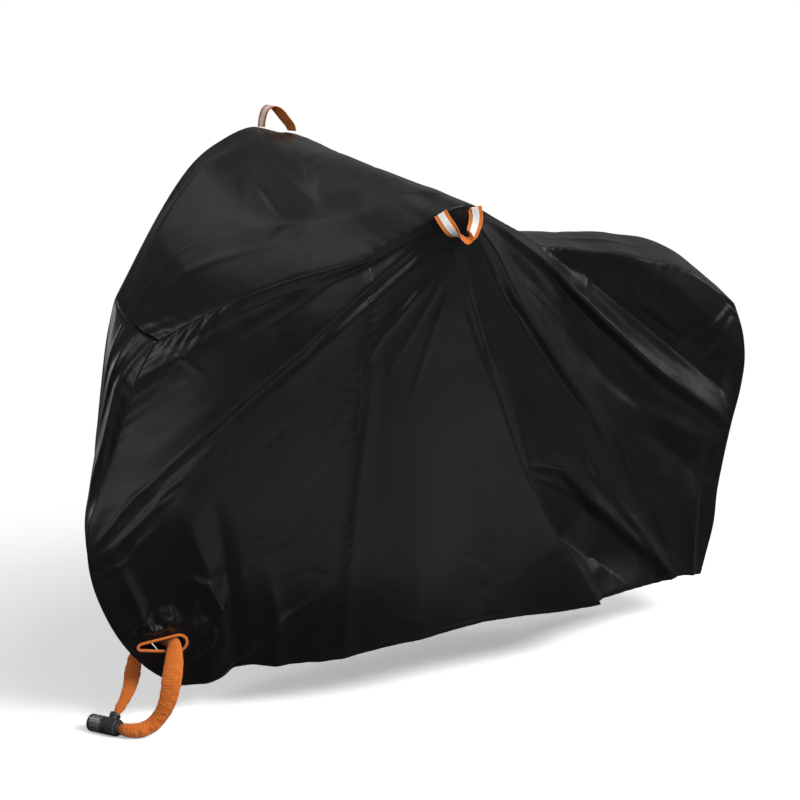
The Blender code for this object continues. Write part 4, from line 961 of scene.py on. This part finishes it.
# ---------------------------------------------------------------- strap and lock
def strap(finish, lock_pieces):
    """The gathered cloth sleeve over the lock's cable: a soft flattened tube, wrinkled all along."""
    count, turns = 420, 56
    route, at = by_length(STRAP), np.linspace(0, 1, count)
    line = smooth(route[:, :4], at)
    half = np.interp(at, route[:, 0], route[:, 4])[:, None] / 2
    run, walk = unit(np.gradient(line, axis=0)), walked(line)
    way = unit(np.cross(np.array(STRAP_FACE), run))
    face = np.cross(run, way)
    share, s = walk / walk[-1], walk[:, None]
    turn = np.linspace(0, 2 * math.pi, turns, endpoint=False)
    draw = np.random.default_rng(SEED + 20)
    wrinkle = np.zeros((count, turns))
    for _ in range(WAVES):
        wave, lean = 2 * math.pi / draw.uniform(*WAVE_LENGTH), draw.integers(*WAVE_WIND)
        wrinkle += np.sin(s * wave + lean * turn + draw.uniform(0, 2 * math.pi)) / WAVES**0.5
    crinkle = np.clip(wrinkle, *WAVE_LIMITS) * np.interp(share, *zip(*STRAP_CRINKLE))[:, None]
    ends = END_SHARE + (1 - END_SHARE) * ease(np.minimum(s, walk[-1] - s) / END_REACH)
    wide = half * np.cos(turn) * (1 - PINCH * crinkle) * ends
    flatness = np.interp(share, *zip(*STRAP_FLATNESS))[:, None]
    thick = half * flatness * np.sin(turn) * (1 - DENT * crinkle) * ends
    from_seam = (turn - math.pi * SLEEVE_SEAM_AT) / SLEEVE_SEAM_WIDTH
    seam = -SLEEVE_SEAM * np.exp(-(from_seam**2)) * np.sin(turn)
    grid = laid_along(line, way, face, wide, thick + seam)
    mesh = grid_mesh("strap_sleeve", grid, face[count // 2], closed=True)
    close_up(mesh)
    sleeve = new_piece("strap_sleeve", mesh, finish, "orange_sleeve", "lock_strap")


def turned(name, profile, start, way, finish, slot, nodes=(), sides=72, cuts=0):
    """A round piece from rows of (along, radius), with so many cuts for the thumb along its rim."""
    turn = Vector(way).normalized().to_track_quat("Z", "Y").to_matrix()
    angle = np.linspace(0, 2 * math.pi, sides, endpoint=False)
    along, radius = (np.array(column)[:, None] * np.ones(sides) for column in zip(*profile))
    if cuts:
        length = profile[-1][0]
        rim = (along > length * 0.02) & (along < length * 0.98)
        radius = radius - DIAL_CUT * (np.cos(angle * cuts) < -0.2) * rim
    flat = np.stack((radius * np.cos(angle), radius * np.sin(angle), along), axis=-1)
    points = flat @ np.array(turn).T + np.array(start)
    index = np.arange(along.size).reshape(-1, sides)
    ring = np.roll(index, -1, axis=1)
    faces = np.stack((index[:-1], ring[:-1], ring[1:], index[1:]), axis=-1).reshape(-1, 4).tolist()
    faces += [index[0][::-1].tolist(), index[-1].tolist()]
    mesh = bpy.data.meshes.new(name)
    mesh.from_pydata((points - SHIFT).reshape(-1, 3).tolist(), [], faces)
    mesh.shade_smooth()
    mesh.set_sharp_from_angle(angle=math.radians(32))
    return new_piece(name, mesh, finish, slot, *nodes)


def rounded(length, radius, edge, steps=5):
    """Profile of a disc with rounded rims, from its foot to its head."""
    half = [(0.0, radius - edge * 1.6)]
    for i in range(steps + 1):
        turn = math.pi / 2 * i / steps
        half.append((edge - edge * math.cos(turn), radius - edge + edge * math.sin(turn)))
    return half + [(length - along, out) for along, out in reversed(half)]


def dial_digits(name, start, way, finish):
    """Plain numbers 0 to 9 round a dial, bent onto its face."""
    turn = way.to_track_quat("Z", "Y").to_matrix()
    shape = bmesh.new()
    for digit in range(10):
        text = bpy.data.curves.new(f"digit {digit}", "FONT")
        text.body = str(digit)
        text.size = DIAL_WIDTH * 0.95
        text.align_x = text.align_y = "CENTER"
        text.extrude = 0.00012
        holder = bpy.data.objects.new("digit", text)
        bpy.context.scene.collection.objects.link(holder)
        bpy.context.view_layer.update()
        flat = bpy.data.meshes.new_from_object(holder.evaluated_get(bpy.context.evaluated_depsgraph_get()))
        middle = 2 * math.pi * (digit + 0.5) / 10
        for vert in flat.vertices:
            x, y, z = vert.co
            angle, out = middle + y / LOCK_RADIUS, LOCK_RADIUS + z
            bent = Vector((out * math.cos(angle), out * math.sin(angle), DIAL_WIDTH / 2 + x))
            vert.co = turn @ bent + start
        shape.from_mesh(flat)
        bpy.data.objects.remove(holder, do_unlink=True)
    mesh = bpy.data.meshes.new(name)
    shape.to_mesh(mesh)
    shape.free()
    mesh.transform(Matrix.Translation(-Vector(BAR_MIDDLE)))
    return new_piece(name, mesh, finish, "lock_dials")


def lock(dark, steel, pale):
    """The barrel lock on the ground: its body, collar and socket, four numbered dials and the end cap."""
    way, at = Vector(LOCK_WAY).normalized(), Vector(LOCK_FOOT)
    made = []

    def add(name, profile, start, way, *nodes):
        made.append(turned(name, profile, start, way, dark, "dark_lock", nodes))

    barrel = rounded(BODY_LENGTH, LOCK_RADIUS, LOCK_EDGE)
    half = len(barrel) // 2
    barrel[half:half] = [(BODY_LENGTH * share, LOCK_RADIUS - depth) for share, depth in GROOVES]
    add("lock_barrel", barrel, at, way, "lock_body")
    reach = LOCK_RADIUS + SOCKET_LENGTH
    rim = rounded(reach * (1 - SOCKET_NECK), SOCKET_RADIUS, COLLAR_EDGE)
    mouth = [(0.0, SOCKET_RADIUS), *((reach * SOCKET_NECK + along, radius) for along, radius in rim[1:])]
    add("lock_socket", mouth, at + way * SOCKET_AT, SOCKET_WAY)
    add("lock_collar", rounded(COLLAR_LENGTH, COLLAR_RADIUS, COLLAR_EDGE), at - way * COLLAR_BACK, way)
    at = at + way * (BODY_LENGTH + STEEL_GAP)
    ring = rounded(DIAL_WIDTH, LOCK_RADIUS, DIAL_EDGE, 3)
    for i in range(1, DIALS + 1):
        made.append(turned(
            f"lock_ring_{i}", ring, at, way, steel, "lock_dials", (f"lock_dial_{i}",), DIAL_SIDES, DIAL_CUTS
        ))
        made.append(dial_digits(f"lock_ring_{i}_numbers", at, way, pale))
        at = at + way * (DIAL_WIDTH + STEEL_GAP)
    add("lock_end", rounded(CAP_LENGTH, LOCK_RADIUS, LOCK_EDGE), at, way, "lock_cap")
    return made


# ---------------------------------------------------------------- finishes
class Nodes:
    """Short calls for building one material."""

    def __init__(self, name, **values):
        self.material = bpy.data.materials.new(name)
        self.material.use_nodes = True
        self.tree = self.material.node_tree
        self.shader = self.tree.nodes["Principled BSDF"]
        for socket, value in values.items():
            self.shader.inputs[socket.replace("_", " ")].default_value = value

    def join(self, value, socket):
        """Link an output to a socket, or set the socket to a plain value."""
        if isinstance(value, bpy.types.NodeSocket):
            self.tree.links.new(value, socket)
        else:
            socket.default_value = value

    def add(self, kind, settings=(), **inputs):
        """A new node with its settings and its inputs."""
        node = self.tree.nodes.new(f"ShaderNode{kind}")
        for name, value in dict(settings).items():
            setattr(node, name, value)
        for name, value in inputs.items():
            self.join(value, node.inputs[name.replace("_", " ")])
        return node

    def math(self, operation, *values):
        node = self.add("Math", {"operation": operation})
        for value, socket in zip(values, node.inputs):
            self.join(value, socket)
        return node.outputs[0]

    def noise(self, scale, detail=3.0):
        place = self.add("TexCoord").outputs["Object"]
        return self.add("TexNoise", Vector=place, Scale=scale, Detail=detail, Roughness=0.55).outputs[0]

    def ramp(self, value, low, high, start=0.3, end=0.7):
        """Map a value from the range start to end onto low to high."""
        return self.add(
            "MapRange", Value=value, From_Min=start, From_Max=end, To_Min=low, To_Max=high
        ).outputs[0]

    def mix(self, factor, first, second):
        """Mix two colours."""
        node = self.add("Mix", {"data_type": "RGBA"})
        for value, place in ((factor, 0), ((*first, 1.0), 6), ((*second, 1.0), 7)):
            self.join(value, node.inputs[place])
        return node.outputs[2]

    def bump(self, height, distance, strength, *below):
        """A bump of so many metres, on top of an earlier one if there is one."""
        node = self.add("Bump", Height=height, Distance=distance, Strength=strength)
        for normal in below:
            self.join(normal, node.inputs["Normal"])
        return node.outputs[0]

    def finish(self, colour, roughness, *normal):
        for value, name in zip((colour, roughness, *normal), ("Base Color", "Roughness", "Normal")):
            self.join(value, self.shader.inputs[name])
        return self.material


def woven(made, pitch):
    """Height of a plain weave on the cloth's own flat map, its yarns this far apart."""
    place = made.add("UVMap", {"uv_map": "cloth"}).outputs[0]
    parts = made.add("SeparateXYZ", Vector=place)
    yarns = [made.math("SINE", made.math("MULTIPLY", parts.outputs[k], math.pi / pitch)) for k in range(2)]
    return made.math("ABSOLUTE", made.math("MULTIPLY", *yarns))


def black_cloth():
    """Satin black coated cloth: a fine weave under the coating, soft crumple, and a dusty bloom."""
    made = Nodes("satin black cloth", Specular_IOR_Level=0.5, Sheen_Weight=0.04, Sheen_Roughness=0.4)
    bloom = made.ramp(made.noise(5.0, 4.0), 0.0, 1.0)
    normal = made.bump(woven(made, 0.0006), 0.00003, 0.2)
    for scale, distance, strength in ((120.0, 0.0006, 0.12), (34.0, 0.0022, 0.16)):
        normal = made.bump(made.noise(scale, 2.0), distance, strength, normal)
    colour = made.mix(bloom, (0.0040, 0.0040, 0.0043), (0.0060, 0.0060, 0.0064))
    return made.finish(colour, made.ramp(made.noise(17.0), 0.29, 0.38), normal)


def orange_cloth(name, base, deep, pitch, roughness, wrinkle=0.0):
    """Orange woven cloth with painted shade between its yarns and a random mottle, with fine wrinkles of so
    many metres.
    """
    made = Nodes(name, Specular_IOR_Level=0.35, Sheen_Weight=0.25, Sheen_Roughness=0.5)
    weave = woven(made, pitch)
    # painted shade: the weave's hollows between the yarns get the darker colour, mixed with a random mottle
    yarn_shade_and_mottle = made.math("MULTIPLY_ADD", weave, 0.45, made.ramp(made.noise(90.0), 0.0, 0.55))
    normal = made.bump(weave, pitch * 0.35, 0.8)
    if wrinkle:
        normal = made.bump(made.noise(150.0), wrinkle, 0.6, normal)
    return made.finish(made.mix(yarn_shade_and_mottle, deep, base), roughness, normal)


def silver_tape():
    """Reflective tape: tiny glass beads over pale cloth, pressed in a fine diamond grid."""
    made = Nodes("reflective tape", Specular_IOR_Level=0.6)
    beads = made.add("TexVoronoi", Scale=1500.0).outputs["Distance"]
    colour = made.mix(made.ramp(made.noise(60.0), 0.0, 1.0), (0.90, 0.89, 0.87), (0.97, 0.97, 0.95))
    return made.finish(colour, made.ramp(beads, 0.28, 0.45, 0.0, 0.6), made.bump(beads, 0.0001, 0.5))


def lock_paint():
    """Dark grey paint, rubbed paler in spots."""
    made = Nodes("dark grey lock", Metallic=0.35, Specular_IOR_Level=0.5)
    worn = made.noise(70.0, 5.0)
    colour = made.mix(made.ramp(worn, 0.0, 1.0, 0.45, 0.72), (0.045, 0.048, 0.055), (0.10, 0.10, 0.105))
    return made.finish(colour, made.ramp(worn, 0.38, 0.55), made.bump(made.noise(900.0), 0.00008, 0.5))


def dial_steel():
    """Brushed steel with uneven wear."""
    made = Nodes("lock dial steel", Metallic=0.85)
    worn = made.noise(160.0, 4.0)
    colour = made.mix(made.ramp(worn, 0.0, 1.0), (0.30, 0.30, 0.31), (0.52, 0.52, 0.53))
    return made.finish(colour, made.ramp(worn, 0.24, 0.42), made.bump(made.noise(600.0), 0.00006, 0.5))


def number_paint():
    """Dark paint of the numbers."""
    made = Nodes("dial numbers", Specular_IOR_Level=0.4)
    return made.finish(made.mix(made.noise(500.0), (0.02, 0.02, 0.022), (0.05, 0.05, 0.055)), 0.6)


# ---------------------------------------------------------------- camera, light and floor
def stand(name, data, place):
    """A camera or light at its place in the tables' frame."""
    item = bpy.data.objects.new(name, data)
    item.location = Vector(place) - Vector(BAR_MIDDLE)
    bpy.context.scene.collection.objects.link(item)
    return item


def camera():
    """The camera of the picture."""
    data = bpy.data.cameras.new("camera")
    data.lens = CAMERA_LENS
    data.sensor_width = CAMERA_SENSOR
    item = stand("camera", data, CAMERA_PLACE)
    item.rotation_euler = [math.radians(turn) for turn in CAMERA_TURN]
    bpy.context.scene.camera = item


def softbox(name, place, aim, size, power):
    """A rectangular light at its place, turned to its aim."""
    light = bpy.data.lights.new(name, "AREA")
    light.shape = "RECTANGLE"
    light.size, light.size_y = size
    light.energy = power
    item = stand(name, light, place)
    item.rotation_euler = (Vector(aim) - Vector(place)).to_track_quat("-Z", "Y").to_euler()


def make_nodes(tree, kinds):
    """New shader nodes of the kinds named, in that order."""
    return [tree.nodes.new(f"ShaderNode{kind}") for kind in kinds.split()]


def wire(tree, *pairs):
    """Link each output to its socket."""
    for output, socket in pairs:
        tree.links.new(output, socket)


def studio():
    """White sweep: the eye sees it white with soft shadows, the cloth sees a dim room with softboxes."""
    bpy.context.scene.view_settings.view_transform = "Standard"
    world = bpy.data.worlds.new("studio")
    world.use_nodes = True
    tree = world.node_tree
    shown = tree.nodes["Background"]
    shown.inputs[0].default_value = (1, 1, 1, 1)
    room, way, part, curve, half, eye, pick = make_nodes(
        tree, "Background TexCoord SeparateXYZ FloatCurve Math LightPath MixShader"
    )
    points = curve.mapping.curves[0].points
    for height, bright in ROOM[1:-1]:
        points.new((height + 1) / 2, bright)
    points[0].location = (0.0, ROOM[0][1])
    points[-1].location = (1.0, ROOM[-1][1])
    curve.mapping.update()
    half.operation = "MULTIPLY_ADD"
    half.inputs[1].default_value = half.inputs[2].default_value = 0.5
    wire(
        tree, (way.outputs["Generated"], part.inputs[0]), (part.outputs[2], half.inputs[0]),
        (half.outputs[0], curve.inputs["Value"]), (curve.outputs[0], room.inputs[1]),
        (eye.outputs["Is Camera Ray"], pick.inputs[0]), (room.outputs[0], pick.inputs[1]),
        (shown.outputs[0], pick.inputs[2]), (pick.outputs[0], tree.nodes["World Output"].inputs[0]),
    )
    bpy.context.scene.world = world
    for row in SOFTBOXES:
        softbox(*row)


def floor():
    """A pale floor: lit near the cover, plain white further off, and dim to all but the eye."""
    bpy.ops.mesh.primitive_circle_add(vertices=96, radius=FLOOR_RADIUS, fill_type="NGON")
    item = bpy.context.object
    item.name = "floor"
    item.location = Vector((FLOOR_AHEAD, 0, 0)) - Vector(BAR_MIDDLE)
    finish = bpy.data.materials.new("white floor")
    finish.use_nodes = True
    tree = finish.node_tree
    tree.nodes.remove(tree.nodes["Principled BSDF"])
    place, length, fade, eye, dim, pick, edge = make_nodes(
        tree, "TexCoord VectorMath MapRange LightPath BsdfDiffuse MixShader MixShader"
    )
    lit, glow, white, seen = make_nodes(tree, "BsdfDiffuse Emission Emission AddShader")
    length.operation = "LENGTH"
    fade.inputs["From Min"].default_value, fade.inputs["From Max"].default_value = FLOOR_FADE
    lit.inputs[0].default_value = (FLOOR_LIT,) * 3 + (1,)
    glow.inputs[1].default_value = FLOOR_GLOW
    dim.inputs[0].default_value = (FLOOR_DIM,) * 3 + (1,)
    wire(
        tree, (place.outputs["Object"], length.inputs[0]), (length.outputs["Value"], fade.inputs["Value"]),
        (lit.outputs[0], seen.inputs[0]), (glow.outputs[0], seen.inputs[1]),
        (fade.outputs[0], edge.inputs[0]), (seen.outputs[0], edge.inputs[1]),
        (white.outputs[0], edge.inputs[2]),
        (eye.outputs["Is Camera Ray"], pick.inputs[0]), (dim.outputs[0], pick.inputs[1]),
        (edge.outputs[0], pick.inputs[2]), (pick.outputs[0], tree.nodes["Material Output"].inputs[0]),
    )
    item.data.materials.append(finish)


# ---------------------------------------------------------------- the whole
def cover(cloth):
    """The seven panels of the cover, each one sheet, held up by what it is pulled over."""
    panels = []
    for side, first, last, columns, rows, edges in (
        ("near", 0, MID_SEAM, 130, 190, ("soft", "butt", "seam", "hem")),
        ("near", MID_SEAM - LAP, 1, 245, 186, ("lap", "seam", "seam", "hem")),
        ("far", 0, MID_SEAM, 80, 130, ("soft", "butt", "seam", "hem")),
        ("far", MID_SEAM - LAP, 1, 160, 130, ("lap", "seam", "seam", "hem")),
    ):
        name = f"{side}_rear" if first else f"{side}_front"
        panels.append((name, f"{name}_panel", *side_panel(SIDES[side], first, last, columns, rows), edges))
    panels.append(("top", "top_panel", top_sheet(*TOP_GRID), (0.0, 0.0, 1.0), ("seam",) * 4))
    for place, sign, *shape in (
        ("front", -1.0, NEAR_FRONT, FAR_FRONT, NOSE, FRONT_HEM, FRONT_SWELL, FRONT_FOLDS, FRONT_FINE),
        ("rear", 1.0, NEAR_REAR, FAR_REAR, TAIL, REAR_HEM, REAR_SWELL, REAR_FOLDS, REAR_FINE),
    ):
        out = (sign, 0.0, 0.0)
        grid = gusset(*shape, out, *STRIP_GRID)
        panels.append((f"{place}_strip", f"{place}_gusset", grid, out, ("soft", "soft", "seam", "hem")))
    for number, (name, node, grid, outside, edges) in enumerate(panels):
        grid = dress(grid, outside, edges, number * 1.7)
        mesh = grid_mesh(f"{name}_cloth", grid, outside)
        if name in ("near_front", "far_front"):
            open_slot(mesh, SIDES[name.split("_")[0]]["eyelet"])
        piece = new_piece(f"{name}_cloth", mesh, cloth, "black_cloth", node)
        thicken(piece, CLOTH)


def main():
    camera()
    # each orange's second, darker colour is painted shade, laid between the yarns of its weave
    orange = orange_cloth("orange webbing", (1.0, 0.29, 0.030), (0.88, 0.20, 0.015), 0.0013, 0.62)
    sleeve = orange_cloth("orange sleeve", (1.0, 0.27, 0.035), (0.93, 0.20, 0.020), 0.0009, 0.75, 0.0007)
    edge = orange_cloth("orange binding", (1.0, 0.28, 0.035), (0.90, 0.20, 0.020), 0.0008, 0.60)
    strap(sleeve, lock(lock_paint(), dial_steel(), number_paint()))
    cover(black_cloth())
    for name, side in SIDES.items():
        webbing(name, side["loop"], orange, silver_tape())
        binding(name, side["eyelet"], edge)
    studio()
    floor()


main()
